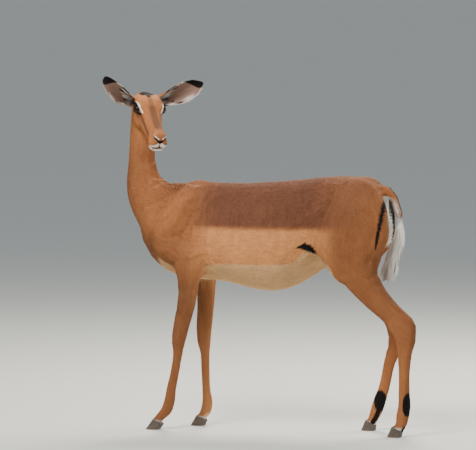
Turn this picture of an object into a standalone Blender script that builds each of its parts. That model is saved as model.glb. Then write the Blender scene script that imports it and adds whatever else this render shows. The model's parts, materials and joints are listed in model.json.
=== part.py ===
"""Female impala antelope, life size, standing with its head turned to its left.

The animal stands along X, facing -X, with its left side towards -Y and the floor at z = 0. Every form is
a loft: rings through a few named stations, joined and blended into one body, which is then parted with
thin cuts into the pieces a person would name.
"""

import math
from dataclasses import dataclass

import bmesh
import bpy
import numpy as np
from mathutils import Matrix, Vector

GAP = 0.0003  # clear space between two pieces that meet
WELD = 0.00002
BODY_VOXEL = 0.004  # cell of the grid that joins the forms
BLEND_STEPS = 40  # smoothing passes where the forms of the trunk meet
FINISH_STEPS = 2  # and over all of it
BODY_TRIANGLES = 4200
SOFT_LEGS = (0.36, 0.47)  # heights between which the smoothing of the legs starts
SOFT_HEAD = (-0.01, 0.03)  # how far along the head it stops
HEAD_HEIGHT = (0.86, 0.90)  # above these heights the head lies
RING_SIDES = 36
STEPS_PER_SPAN = 6

LEFT, RIGHT = -1.0, 1.0  # the sign of y on each side

# Stations of the trunk, from the breast to the buttocks:
# (x, height of the back, height of the underside, half-width, how far down the widest point lies as a
# share of the depth, fullness of the upper half, fullness of the lower half). Fullness 2 is an ellipse.
TRUNK = (
    (-0.402, 0.720, 0.625, 0.030, 0.50, 2.0, 2.0),
    (-0.388, 0.755, 0.588, 0.054, 0.50, 2.0, 2.0),
    (-0.350, 0.790, 0.534, 0.074, 0.55, 1.9, 1.9),
    (-0.300, 0.797, 0.502, 0.084, 0.56, 1.7, 1.9),
    (-0.250, 0.800, 0.488, 0.090, 0.58, 1.6, 1.9),
    (-0.210, 0.812, 0.484, 0.096, 0.60, 1.5, 2.0),
    (-0.165, 0.804, 0.484, 0.104, 0.61, 1.6, 2.1),
    (-0.100, 0.801, 0.477, 0.117, 0.62, 1.75, 2.2),
    (-0.030, 0.803, 0.459, 0.128, 0.62, 1.85, 2.2),
    (0.040, 0.808, 0.452, 0.133, 0.61, 1.9, 2.2),
    (0.100, 0.813, 0.464, 0.128, 0.58, 1.9, 2.1),
    (0.155, 0.819, 0.492, 0.113, 0.53, 1.9, 2.0),
    (0.210, 0.825, 0.530, 0.098, 0.45, 2.0, 2.0),
    (0.270, 0.829, 0.556, 0.090, 0.42, 2.0, 2.0),
    (0.320, 0.827, 0.575, 0.082, 0.42, 2.0, 2.0),
    (0.362, 0.815, 0.595, 0.072, 0.45, 2.0, 2.0),
    (0.396, 0.798, 0.622, 0.054, 0.48, 2.0, 2.0),
    (0.412, 0.772, 0.655, 0.030, 0.50, 2.0, 2.0),
)

# Stations of a limb or the neck: (x, y, z, half-width across, half-depth to the front, to the back).
# y is given for the left side as a positive distance from the middle plane.
NECK = (
    (-0.265, 0.000, 0.665, 0.060, 0.105, 0.085),
    (-0.335, 0.000, 0.725, 0.060, 0.092, 0.080),
    (-0.381, 0.000, 0.786, 0.049, 0.066, 0.053),
    (-0.398, 0.001, 0.845, 0.041, 0.047, 0.046),
    (-0.400, 0.004, 0.900, 0.038, 0.0405, 0.0415),
    (-0.399, 0.010, 0.955, 0.037, 0.040, 0.040),
    (-0.397, 0.018, 1.005, 0.038, 0.040, 0.038),
    (-0.394, 0.022, 1.045, 0.034, 0.035, 0.030),
)
SHOULDER = (
    (-0.214, 0.026, 0.788, 0.016, 0.030, 0.032),
    (-0.230, 0.050, 0.745, 0.024, 0.048, 0.046),
    (-0.262, 0.065, 0.695, 0.030, 0.054, 0.054),
    (-0.298, 0.070, 0.645, 0.031, 0.050, 0.054),
    (-0.322, 0.070, 0.605, 0.028, 0.034, 0.044),
    (-0.330, 0.068, 0.585, 0.018, 0.016, 0.024),
)
UPPER_ARM = (
    (-0.345, 0.064, 0.620, 0.024, 0.026, 0.026),
    (-0.310, 0.070, 0.600, 0.035, 0.044, 0.048),
    (-0.255, 0.077, 0.572, 0.038, 0.048, 0.056),
    (-0.200, 0.079, 0.548, 0.034, 0.040, 0.042),
    (-0.165, 0.078, 0.535, 0.022, 0.020, 0.022),
)
LEFT_FORELEG = (
    (-0.228, 0.082, 0.580, 0.038, 0.050, 0.056),
    (-0.225, 0.082, 0.530, 0.038, 0.045, 0.052),
    (-0.2235, 0.081, 0.486, 0.033, 0.0385, 0.0385),
    (-0.2290, 0.079, 0.437, 0.028, 0.0335, 0.0345),
    (-0.2420, 0.076, 0.370, 0.0225, 0.0295, 0.0300),
    (-0.2545, 0.074, 0.318, 0.0225, 0.0270, 0.0270),
    (-0.2590, 0.073, 0.288, 0.0220, 0.0245, 0.0230),
    (-0.2615, 0.072, 0.258, 0.0165, 0.0185, 0.0185),
    (-0.2725, 0.071, 0.188, 0.0135, 0.0160, 0.0165),
    (-0.2850, 0.070, 0.132, 0.0142, 0.0172, 0.0182),
    (-0.2920, 0.069, 0.090, 0.0168, 0.0190, 0.0200),
    (-0.3020, 0.069, 0.064, 0.0172, 0.0182, 0.0205),
    (-0.3220, 0.069, 0.041, 0.0160, 0.0152, 0.0160),
    (-0.3380, 0.069, 0.022, 0.0172, 0.0150, 0.0154),
    (-0.3470, 0.069, 0.011, 0.0172, 0.0148, 0.0152),
)
RIGHT_FORELEG = (
    (-0.222, 0.080, 0.580, 0.038, 0.050, 0.056),
    (-0.212, 0.080, 0.530, 0.038, 0.045, 0.050),
    (-0.2060, 0.078, 0.482, 0.033, 0.0385, 0.0370),
    (-0.2050, 0.075, 0.437, 0.028, 0.0340, 0.0330),
    (-0.2070, 0.071, 0.370, 0.0225, 0.0295, 0.0285),
    (-0.2105, 0.069, 0.318, 0.0225, 0.0275, 0.0270),
    (-0.2100, 0.067, 0.280, 0.0220, 0.0255, 0.0240),
    (-0.2070, 0.066, 0.244, 0.0165, 0.0185, 0.0180),
    (-0.2050, 0.064, 0.180, 0.0135, 0.0158, 0.0160),
    (-0.2015, 0.062, 0.114, 0.0138, 0.0155, 0.0160),
    (-0.1985, 0.061, 0.074, 0.0168, 0.0185, 0.0195),
    (-0.2035, 0.061, 0.050, 0.0172, 0.0180, 0.0200),
    (-0.2160, 0.061, 0.031, 0.0160, 0.0150, 0.0158),
    (-0.2290, 0.061, 0.016, 0.0172, 0.0148, 0.0152),
    (-0.2340, 0.061, 0.009, 0.0172, 0.0146, 0.0150),
)
LEFT_THIGH = (
    (0.258, 0.044, 0.780, 0.026, 0.050, 0.074),
    (0.290, 0.062, 0.740, 0.042, 0.088, 0.118),
    (0.305, 0.066, 0.680, 0.052, 0.112, 0.128),
    (0.306, 0.070, 0.620, 0.055, 0.122, 0.126),
    (0.312, 0.072, 0.560, 0.050, 0.088, 0.096),
    (0.332, 0.072, 0.510, 0.043, 0.066, 0.074),
)
RIGHT_THIGH = (
    (0.253, 0.044, 0.780, 0.026, 0.050, 0.074),
    (0.283, 0.062, 0.740, 0.042, 0.092, 0.122),
    (0.293, 0.066, 0.680, 0.052, 0.118, 0.134),
    (0.290, 0.070, 0.620, 0.055, 0.124, 0.130),
    (0.290, 0.071, 0.560, 0.050, 0.092, 0.100),
    (0.302, 0.071, 0.510, 0.043, 0.066, 0.074),
)
LEFT_HINDLEG = (
    (0.322, 0.072, 0.545, 0.046, 0.072, 0.080),
    (0.345, 0.073, 0.500, 0.041, 0.056, 0.060),
    (0.375, 0.075, 0.460, 0.034, 0.047, 0.050),
    (0.415, 0.078, 0.420, 0.026, 0.041, 0.042),
    (0.452, 0.080, 0.385, 0.021, 0.036, 0.040),
    (0.477, 0.080, 0.350, 0.022, 0.037, 0.048),
    (0.490, 0.080, 0.315, 0.0215, 0.0335, 0.037),
    (0.4925, 0.079, 0.280, 0.0180, 0.0270, 0.0285),
    (0.4915, 0.078, 0.230, 0.0150, 0.0215, 0.0215),
    (0.4910, 0.077, 0.144, 0.0145, 0.0205, 0.0200),
    (0.4900, 0.076, 0.092, 0.0172, 0.0215, 0.0220),
    (0.4830, 0.076, 0.064, 0.0178, 0.0210, 0.0225),
    (0.4725, 0.076, 0.038, 0.0165, 0.0175, 0.0182),
    (0.4590, 0.076, 0.018, 0.0176, 0.0172, 0.0172),
    (0.4535, 0.076, 0.010, 0.0176, 0.0170, 0.0170),
)
RIGHT_HINDLEG = (
    (0.292, 0.071, 0.545, 0.046, 0.072, 0.080),
    (0.310, 0.071, 0.500, 0.041, 0.056, 0.060),
    (0.336, 0.072, 0.460, 0.034, 0.047, 0.050),
    (0.372, 0.073, 0.420, 0.026, 0.041, 0.042),
    (0.405, 0.074, 0.385, 0.021, 0.036, 0.040),
    (0.426, 0.074, 0.350, 0.022, 0.037, 0.048),
    (0.432, 0.073, 0.315, 0.0215, 0.0335, 0.037),
    (0.4250, 0.072, 0.280, 0.0180, 0.0270, 0.0285),
    (0.4070, 0.071, 0.225, 0.0150, 0.0212, 0.0212),
    (0.3860, 0.070, 0.132, 0.0145, 0.0200, 0.0200),
    (0.3725, 0.070, 0.094, 0.0172, 0.0215, 0.0215),
    (0.3630, 0.070, 0.066, 0.0178, 0.0205, 0.0220),
    (0.3520, 0.070, 0.038, 0.0165, 0.0175, 0.0182),
    (0.3415, 0.070, 0.018, 0.0176, 0.0172, 0.0172),
    (0.3375, 0.070, 0.010, 0.0176, 0.0170, 0.0170),
)

# The head in its own frame: +x from the crown to the nose, +y to the animal's left, +z out of the forehead.
HEAD_CROWN = Vector((-0.379, -0.020, 1.088))
HEAD_TURN = math.radians(123.5)  # to the animal's left, from looking straight ahead
HEAD_NOD = math.radians(32.0)  # nose below level
HEAD_TILT = math.radians(-1.5)  # left ear down
# (x, top, underside, half-width, widest point as a share of the depth, upper fullness, lower fullness)
HEAD = (
    (-0.046, -0.034, -0.066, 0.014, 0.50, 2.0, 2.0),
    (-0.036, -0.018, -0.084, 0.027, 0.45, 2.0, 2.0),
    (-0.018, -0.005, -0.098, 0.0365, 0.38, 2.1, 2.0),
    (0.004, 0.001, -0.104, 0.0400, 0.34, 2.2, 1.9),
    (0.026, 0.003, -0.106, 0.0415, 0.32, 2.3, 1.8),
    (0.044, 0.001, -0.108, 0.0420, 0.28, 2.4, 1.7),
    (0.060, -0.003, -0.109, 0.0405, 0.27, 2.4, 1.7),
    (0.078, -0.009, -0.108, 0.0370, 0.30, 2.4, 1.7),
    (0.098, -0.015, -0.105, 0.0325, 0.36, 2.3, 1.8),
    (0.120, -0.0205, -0.102, 0.0285, 0.42, 2.2, 1.9),
    (0.145, -0.025, -0.100, 0.0258, 0.46, 2.2, 2.0),
    (0.168, -0.028, -0.098, 0.0250, 0.48, 2.3, 2.1),
    (0.186, -0.031, -0.092, 0.0240, 0.48, 2.4, 2.2),
    (0.197, -0.036, -0.084, 0.0205, 0.48, 2.3, 2.2),
    (0.204, -0.046, -0.072, 0.0120, 0.48, 2.0, 2.0),
)
# Rounded swellings of the head: (x, y, z, and the three radii along those), mirrored to both sides.
SWELLINGS = (
    (0.053, 0.0335, -0.026, 0.0270, 0.0155, 0.0195),  # rim of the eye
    (0.040, 0.0240, -0.066, 0.0450, 0.0165, 0.0340),  # cheek
    (0.186, 0.0115, -0.043, 0.0150, 0.0120, 0.0135),  # nostril
    (0.179, 0.0160, -0.067, 0.0240, 0.0135, 0.0175),  # upper lip
    (0.174, 0.0060, -0.089, 0.0210, 0.0145, 0.0135),  # chin
)
EYE = Vector((0.057, 0.0390, -0.0265))
EYE_RADIUS = 0.0152
EYE_SEGMENTS, EYE_RINGS = 18, 11
SWELLING_SUBDIVISIONS = 3

# An ear is a leaf bent round its spine: (share of the length, radius of the bend, half its angle in degrees).
EAR_ROOT = Vector((-0.006, 0.036, -0.040))
EAR_TIPS = {LEFT: Vector((0.050, 0.164, 0.067)), RIGHT: Vector((0.034, -0.173, 0.082))}
EAR_OPENS = Vector((0.86, -0.42, 0.28))  # the way the hollow of the left ear faces
EAR_BEND = (
    (0.00, 0.015, 160.0),
    (0.16, 0.018, 140.0),
    (0.32, 0.0235, 108.0),
    (0.48, 0.030, 86.0),
    (0.63, 0.036, 66.0),
    (0.77, 0.038, 50.0),
    (0.89, 0.038, 32.0),
    (0.96, 0.036, 19.0),
    (1.00, 0.034, 8.0),
)
EAR_SWAY = 0.014  # how far the spine swings outwards and down between its ends
EAR_BOW = -0.004  # how far it bows back
EAR_ACROSS = 10
EAR_STEPS = 1
EAR_THICKNESS = 0.0036

# Stations of the tail: (x, y, z, half-width across, half-depth to the front, to the back).
TAIL_SIDES = 14
TAIL_STEPS = 2
TAIL = (
    (0.388, 0.000, 0.790, 0.012, 0.012, 0.012),
    (0.410, 0.000, 0.786, 0.017, 0.014, 0.014),
    (0.430, 0.000, 0.766, 0.020, 0.014, 0.014),
    (0.443, 0.000, 0.734, 0.022, 0.013, 0.014),
    (0.450, 0.000, 0.706, 0.022, 0.012, 0.014),
    (0.453, 0.000, 0.690, 0.016, 0.009, 0.010),
)
TAIL_BRUSH = (
    (0.452, 0.000, 0.690, 0.018, 0.010, 0.012),
    (0.452, 0.000, 0.670, 0.024, 0.014, 0.017),
    (0.447, 0.000, 0.640, 0.026, 0.017, 0.019),
    (0.438, 0.000, 0.605, 0.025, 0.019, 0.021),
    (0.429, 0.000, 0.570, 0.022, 0.017, 0.019),
    (0.420, 0.000, 0.535, 0.017, 0.012, 0.014),
    (0.413, 0.000, 0.503, 0.010, 0.007, 0.008),
    (0.409, 0.000, 0.488, 0.004, 0.003, 0.003),
)


@dataclass(frozen=True)
class Foot:
    """Where one foot stands: its toe, its distance from the middle, and how far the hoof leans back."""

    name: str
    toe: float
    aside: float
    lean: float
    hand: float


FEET = (
    Foot("fore_left", -0.369, 0.069, 0.023, LEFT),
    Foot("fore_right", -0.2525, 0.061, 0.019, RIGHT),
    Foot("hind_left", 0.430, 0.076, 0.015, LEFT),
    Foot("hind_right", 0.314, 0.070, 0.014, RIGHT),
)
HOOF_LENGTH = 0.045
HOOF_WIDTH = 0.0166
HOOF_CLEFT = 0.0022
CORONET_FRONT, CORONET_BACK = 0.032, 0.017  # heights of the hoof's top edge
CORONET_LENGTH = 0.027
HOOF_SIDES = 16
HOOF_POINT = 0.45  # how far a claw narrows at its toe
HOOF_FLAT = 0.9  # how much flatter its inner face is
CORONET_OVERRUN = 0.02

# Where the parts are divided.
SIDE_REACH = 0.3
NECK_CUT = (Vector((-0.290, 0.0, 0.790)), Vector((-0.562, 0.0, 0.827)))
HEAD_CUT = (Vector((-0.392, 0.010, 1.010)), Vector((0.42, -0.66, 0.62)))
LEG_DROP = 0.8
LEG_LINES = {
    "fore_left": (
        ("forearm", ((-0.60, 0.474), (-0.10, 0.474))),
        ("cannon", ((-0.60, 0.332), (-0.10, 0.332))),
        ("pastern", ((-0.60, 0.058), (-0.10, 0.128))),
    ),
    "fore_right": (
        ("forearm", ((-0.60, 0.474), (-0.10, 0.474))),
        ("cannon", ((-0.60, 0.325), (-0.10, 0.325))),
        ("pastern", ((-0.60, 0.050), (-0.10, 0.105))),
    ),
    "hind_left": (
        ("gaskin", ((0.15, 0.4825), (0.65, 0.7325))),
        ("cannon", ((0.15, 0.440), (0.75, 0.305))),
        ("pastern", ((0.15, 0.060), (0.70, 0.116))),
    ),
    "hind_right": (
        ("gaskin", ((0.15, 0.4825), (0.65, 0.7325))),
        ("cannon", ((0.15, 0.410), (0.75, 0.305))),
        ("pastern", ((0.15, 0.030), (0.70, 0.150))),
    ),
}

# Linear colour and roughness.
COLOURS = {
    "coat": ((0.42, 0.19, 0.085), 0.75),
    "white": ((0.80, 0.74, 0.66), 0.80),
    "ear": ((0.34, 0.22, 0.16), 0.80),
    "horn": ((0.055, 0.045, 0.040), 0.45),
    "eye": ((0.012, 0.008, 0.006), 0.12),
}


def spline(stations, steps):
    """Numbers of the stations, with a smooth curve through them: steps values from each to the next."""
    table = np.array(stations, float)
    spans = np.linalg.norm(np.diff(table[:, :3], axis=0), axis=1)
    at = np.concatenate([[0.0], np.cumsum(spans)])
    slope = np.gradient(table, at, axis=0)
    made = [table[0]]
    for i, span in enumerate(spans):
        for step in range(1, steps + 1):
            t = step / steps
            made.append(
                (2 * t**3 - 3 * t**2 + 1) * table[i]
                + (t**3 - 2 * t**2 + t) * span * slope[i]
                + (3 * t**2 - 2 * t**3) * table[i + 1]
                + (t**3 - t**2) * span * slope[i + 1]
            )
    return np.array(made)


def rounded(angle, fullness):
    """Cosine and sine of the angle, drawn out to a superellipse of that fullness."""
    power = 2.0 / fullness
    cosine, sine = math.cos(angle), math.sin(angle)
    return (
        math.copysign(abs(cosine) ** power, cosine),
        math.copysign(abs(sine) ** power, sine),
    )


def ring(centre, side, up, width, rise, drop, fuller_up=2.0, fuller_down=2.0, sides=RING_SIDES):
    """Points round one section, each half with its own height and fullness."""
    points = []
    for i in range(sides):
        angle = 2 * math.pi * i / sides
        above = math.sin(angle) >= 0
        across, height = rounded(angle, fuller_up if above else fuller_down)
        points.append(centre + side * (width * across) + up * ((rise if above else drop) * height))
    return points


def shown(name, bm):
    """An object with the mesh of bm, which is freed."""
    mesh = bpy.data.meshes.new(name)
    bm.to_mesh(mesh)
    bm.free()
    made = bpy.data.objects.new(name, mesh)
    bpy.context.scene.collection.objects.link(made)
    return made


def loft(name, rings):
    """A closed mesh through the rings, with a flat face at each end."""
    bm = bmesh.new()
    loops = [[bm.verts.new(point) for point in points] for points in rings]
    for near, far in zip(loops, loops[1:]):
        for i in range(len(near)):
            j = (i + 1) % len(near)
            bm.faces.new((near[i], near[j], far[j], far[i]))
    for loop in (loops[0], loops[-1]):
        bm.faces.new(loop)
    bmesh.ops.recalc_face_normals(bm, faces=bm.faces)
    return shown(name, bm)


def body_loft(name, stations, place=Matrix.Identity(4)):
    """A loft along x whose stations give the heights of its top and underside."""
    side, up = place.to_3x3() @ Vector((0, 1, 0)), place.to_3x3() @ Vector((0, 0, 1))
    rings = []
    for x, top, under, width, share, fuller_up, fuller_down in spline(stations, STEPS_PER_SPAN):
        middle = top - share * (top - under)
        centre = place @ Vector((x, 0, middle))
        rings.append(ring(centre, side, up, width, top - middle, middle - under, fuller_up, fuller_down))
    return loft(name, rings)


def limb_loft(name, stations, hand=LEFT, steps=STEPS_PER_SPAN, sides=RING_SIDES):
    """A loft along the stations of a limb, on the side of the animal that hand gives."""
    rows = spline(stations, steps)
    centres = rows[:, :3] * (1, hand, 1)
    ways = np.gradient(centres, axis=0)
    rings = []
    for centre, way, (width, front, back) in zip(centres, ways, rows[:, 3:]):
        way = Vector(way).normalized()
        side = Vector((0, 1, 0))
        side = (side - way * side.dot(way)).normalized()
        forward = side.cross(way)
        if forward.x > 0:
            forward = -forward
        rings.append(ring(Vector(centre), side, forward, width, front, back, sides=sides))
    return loft(name, rings)


def head_frame():
    """The matrix that takes the head from its own frame to its place on the neck."""
    turn = Matrix.Rotation(math.pi + HEAD_TURN, 4, "Z")
    nod = Matrix.Rotation(HEAD_NOD, 4, "Y")
    tilt = Matrix.Rotation(HEAD_TILT, 4, "X")
    return Matrix.Translation(HEAD_CROWN) @ turn @ nod @ tilt


def swelling(x, y, z, along, across, high):
    """One rounded swelling of the head, in the head's own frame."""
    bm = bmesh.new()
    bmesh.ops.create_icosphere(bm, subdivisions=SWELLING_SUBDIVISIONS, radius=1.0)
    place = head_frame() @ Matrix.Translation((x, y, z)) @ Matrix.Diagonal((along, across, high, 1))
    bmesh.ops.transform(bm, matrix=place, verts=bm.verts)
    return shown("swelling", bm)


def joined(name, pieces):
    """One object that holds the meshes of the pieces, which are removed."""
    bm = bmesh.new()
    for piece in pieces:
        bm.from_mesh(piece.data)
        bpy.data.objects.remove(piece)
    return shown(name, bm)


def settled(obj):
    """The object with its modifiers' result as its own mesh."""
    graph = bpy.context.evaluated_depsgraph_get()
    mesh = bpy.data.meshes.new_from_object(obj.evaluated_get(graph))
    obj.modifiers.clear()
    obj.data = mesh
    return obj


def flesh_forms():
    """Every form of the blended body, before it is joined."""
    forms = [
        body_loft("trunk_form", TRUNK),
        limb_loft("neck_form", NECK, RIGHT),
        body_loft("head_form", HEAD, head_frame()),
    ]
    for hand in (LEFT, RIGHT):
        left = hand == LEFT
        forms.append(limb_loft("shoulder_form", SHOULDER, hand))
        forms.append(limb_loft("arm_form", UPPER_ARM, hand))
        forms.append(limb_loft("foreleg_form", LEFT_FORELEG if left else RIGHT_FORELEG, hand))
        forms.append(limb_loft("thigh_form", LEFT_THIGH if left else RIGHT_THIGH, hand))
        forms.append(limb_loft("hindleg_form", LEFT_HINDLEG if left else RIGHT_HINDLEG, hand))
        for x, y, z, along, across, high in SWELLINGS:
            forms.append(swelling(x, hand * y, z, along, across, high))
    return forms


def ramp(value, low, high):
    """0 below low, 1 above high, and smooth between."""
    t = min(max((value - low) / (high - low), 0.0), 1.0)
    return t * t * (3 - 2 * t)


def softness(point, to_head):
    """How much the surface is smoothed there: fully on the trunk, hardly on the face and the lower legs."""
    along = (to_head @ point).x
    return ramp(point.z, *SOFT_LEGS) * (1 - ramp(along, *SOFT_HEAD) * ramp(point.z, *HEAD_HEIGHT))


def blended_body():
    """The flesh as one closed mesh, its forms blended where they meet."""
    body = joined("body", flesh_forms())
    grid = body.modifiers.new("join", "REMESH")
    grid.mode = "VOXEL"
    grid.voxel_size = BODY_VOXEL
    settled(body)
    soft = body.vertex_groups.new(name="soft")
    to_head = head_frame().inverted()
    for vertex in body.data.vertices:
        soft.add([vertex.index], softness(vertex.co, to_head), "REPLACE")
    for name, group, steps in (("blend", "soft", BLEND_STEPS), ("finish", "", FINISH_STEPS)):
        smooth = body.modifiers.new(name, "SMOOTH")
        smooth.factor = 0.5
        smooth.iterations = steps
        smooth.vertex_group = group
    thin = body.modifiers.new("thin", "DECIMATE")
    thin.ratio = BODY_TRIANGLES / (2 * len(body.data.polygons))
    return settled(body)


def block(name, corners, low, high):
    """A cutter: the outline of (x, z) corners, drawn from y = low to y = high."""
    bm = bmesh.new()
    face = bm.faces.new([bm.verts.new((x, low, z)) for x, z in corners])
    drawn = bmesh.ops.extrude_face_region(bm, geom=[face])
    moved = [item for item in drawn["geom"] if isinstance(item, bmesh.types.BMVert)]
    bmesh.ops.translate(bm, verts=moved, vec=(0, high - low, 0))
    bmesh.ops.recalc_face_normals(bm, faces=bm.faces)
    return cutter(shown(name, bm))


def cutter(obj):
    """Marks the object as one that only cuts."""
    obj.hide_render = True
    obj.display_type = "WIRE"
    return obj


def cut(obj, tool, operation):
    """Applies one exact Boolean of the tool to the object."""
    step = obj.modifiers.new(operation.lower(), "BOOLEAN")
    step.operation = operation
    step.object = tool
    return settled(obj)


def copied(obj, name):
    """A second object with its own copy of the mesh."""
    made = obj.copy()
    made.data = obj.data.copy()
    made.name = name
    bpy.context.scene.collection.objects.link(made)
    return made


def kept_side(obj, point, normal):
    """Cuts the object by a plane, keeps the side that the normal points to, and closes the cut."""
    bm = bmesh.new()
    bm.from_mesh(obj.data)
    everything = bm.verts[:] + bm.edges[:] + bm.faces[:]
    made = bmesh.ops.bisect_plane(bm, geom=everything, plane_co=point, plane_no=normal, clear_inner=True)
    rim = [item for item in made["geom_cut"] if isinstance(item, bmesh.types.BMEdge)]
    bmesh.ops.holes_fill(bm, edges=rim)
    bmesh.ops.recalc_face_normals(bm, faces=bm.faces)
    bm.to_mesh(obj.data)
    bm.free()
    return obj


def sliced(whole, name, point, normal):
    """Parts whole by a thin cut at a plane: the side the normal points to becomes a node with that name."""
    normal = normal.normalized()
    piece = kept_side(copied(whole, name), point, normal)
    kept_side(whole, point - normal * GAP, -normal)
    return piece


def below(line):
    """A point on a line from one (x, z) to another, and the way down from it."""
    (x0, z0), (x1, z1) = line
    return Vector((x0, 0, z0)), Vector((z1 - z0, 0, x0 - x1))


def leg_zone(line, hand, grow):
    """A block on one side of the animal, below the line from one (x, z) to another and grown up by grow."""
    (x0, z0), (x1, z1) = line
    corners = ((x0, z0 + grow), (x1, z1 + grow), (x1, z1 - LEG_DROP), (x0, z0 - LEG_DROP))
    return block("leg_zone", corners, *sorted((hand * SIDE_REACH, 0.0)))


def taken_leg(body, name, line, hand):
    """Parts a whole leg from the body by a thin cut along the line."""
    leg = copied(body, name)
    for obj, grow, operation in ((leg, 0.0, "INTERSECT"), (body, GAP, "DIFFERENCE")):
        zone = leg_zone(line, hand, grow)
        cut(obj, zone, operation)
        bpy.data.objects.remove(zone)
    return leg


def ear(name, hand):
    """One ear: a leaf bent round its spine, open to the front, with its rim and root closed."""
    mirror = Vector((1, -hand, 1))
    root, tip, opens = EAR_ROOT * mirror, EAR_TIPS[hand], EAR_OPENS * mirror
    way = (tip - root).normalized()
    opens = (opens - way * opens.dot(way)).normalized()
    across = way.cross(opens)
    place = head_frame()
    bends = spline([(share, 0, 0, bend, angle) for share, bend, angle in EAR_BEND], EAR_STEPS)
    bm = bmesh.new()
    rows = []
    for share, _, _, bend, angle in bends:
        half = math.radians(angle)
        swing = math.sin(math.pi * share)
        spine = root.lerp(tip, share) + opens * (EAR_BOW * swing) - across * (hand * EAR_SWAY * swing)
        turns = [half * (2 * i / EAR_ACROSS - 1) for i in range(EAR_ACROSS + 1)]
        points = [
            spine + opens * (bend * (1 - math.cos(turn))) + across * (bend * math.sin(turn))
            for turn in turns
        ]
        rows.append([bm.verts.new(place @ point) for point in points])
    for near, far in zip(rows, rows[1:]):
        for i in range(EAR_ACROSS):
            bm.faces.new((near[i], near[i + 1], far[i + 1], far[i]))
    made = shown(name, bm)
    wall = made.modifiers.new("wall", "SOLIDIFY")
    wall.thickness = EAR_THICKNESS
    wall.offset = 0.0
    return settled(made)


def ball(name, radius, hand):
    """A ball in the head's eye socket on that side."""
    bm = bmesh.new()
    bmesh.ops.create_uvsphere(bm, u_segments=EYE_SEGMENTS, v_segments=EYE_RINGS, radius=radius)
    centre = head_frame() @ (EYE * Vector((1, -hand, 1)))
    bmesh.ops.translate(bm, verts=bm.verts, vec=centre)
    return shown(name, bm)


def swollen(obj, amount):
    """A cutter that is the object grown outwards by the amount."""
    made = cutter(copied(obj, obj.name + "_grown"))
    grow = made.modifiers.new("grow", "DISPLACE")
    grow.strength = amount
    grow.mid_level = 0.0
    return settled(made)


def hoof_ring(foot, side, low):
    """Points round one claw's sole, or round its top edge if low is False."""
    points = []
    for i in range(HOOF_SIDES):
        angle = 2 * math.pi * i / HOOF_SIDES
        along, across = (1 - math.cos(angle)) / 2, math.sin(angle)
        taper = 1 - HOOF_POINT * (1 - along) ** 2
        width = HOOF_WIDTH / 2 * (taper if low else 1.0)
        if low:
            x, z = foot.toe + HOOF_LENGTH * along, 0.0
        else:
            x = foot.toe + foot.lean + CORONET_LENGTH * along
            z = CORONET_FRONT + (CORONET_BACK - CORONET_FRONT) * along - GAP
        flat = -side * across > 0
        y = foot.hand * foot.aside + side * (HOOF_CLEFT + HOOF_WIDTH) / 2
        y += across * width * (HOOF_FLAT if flat else 1.0)
        points.append(Vector((x, y, z)))
    return points


def hoof(name, foot, side):
    """One claw of a foot, pointed in front and flat beneath."""
    return loft(name, [hoof_ring(foot, side, False), hoof_ring(foot, side, True)])


def coronet_line(foot):
    """The (x, z) line along the top edge of a foot's hooves, drawn on past both ends."""
    slope = (CORONET_BACK - CORONET_FRONT) / CORONET_LENGTH
    front, back = -CORONET_OVERRUN, CORONET_LENGTH + CORONET_OVERRUN
    start = foot.toe + foot.lean
    return ((start + front, CORONET_FRONT + slope * front), (start + back, CORONET_FRONT + slope * back))


def legs(body):
    """Parts each leg from the body, then into its lengths, and sets its hooves under it."""
    for foot in FEET:
        (top_name, top_line), *lower = LEG_LINES[foot.name]
        rest = taken_leg(body, f"{top_name}_{foot.name}", top_line, foot.hand)
        for part_name, line in lower:
            rest = sliced(rest, f"{part_name}_{foot.name}", *below(line))
        point, down = below(coronet_line(foot))
        kept_side(rest, point, -down)
        for side, place in ((foot.hand, "outer"), (-foot.hand, "inner")):
            hoof(f"hoof_{foot.name}_{place}", foot, side)


def painted(obj, name):
    """Gives the object its own material in one of the animal's colours."""
    colour, roughness = COLOURS[name]
    material = bpy.data.materials.new(obj.name + "_" + name)
    material.use_nodes = True
    shader = material.node_tree.nodes["Principled BSDF"]
    shader.inputs["Base Color"].default_value = (*colour, 1.0)
    shader.inputs["Roughness"].default_value = roughness
    obj.data.materials.clear()
    obj.data.materials.append(material)


def colour_of(name):
    """Which of the animal's colours a node has."""
    for start, colour in (("hoof", "horn"), ("eye", "eye"), ("ear", "ear"), ("tail_brush", "white")):
        if name.startswith(start):
            return colour
    return "coat"


def tidy(obj):
    """Welds what the cuts left doubled and shades the round forms smooth."""
    bm = bmesh.new()
    bm.from_mesh(obj.data)
    bmesh.ops.remove_doubles(bm, verts=bm.verts, dist=WELD)
    bmesh.ops.dissolve_degenerate(bm, edges=bm.edges, dist=WELD)
    bmesh.ops.triangulate(bm, faces=[face for face in bm.faces if len(face.verts) > 4])
    bm.to_mesh(obj.data)
    bm.free()
    obj.data.shade_smooth()


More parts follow.
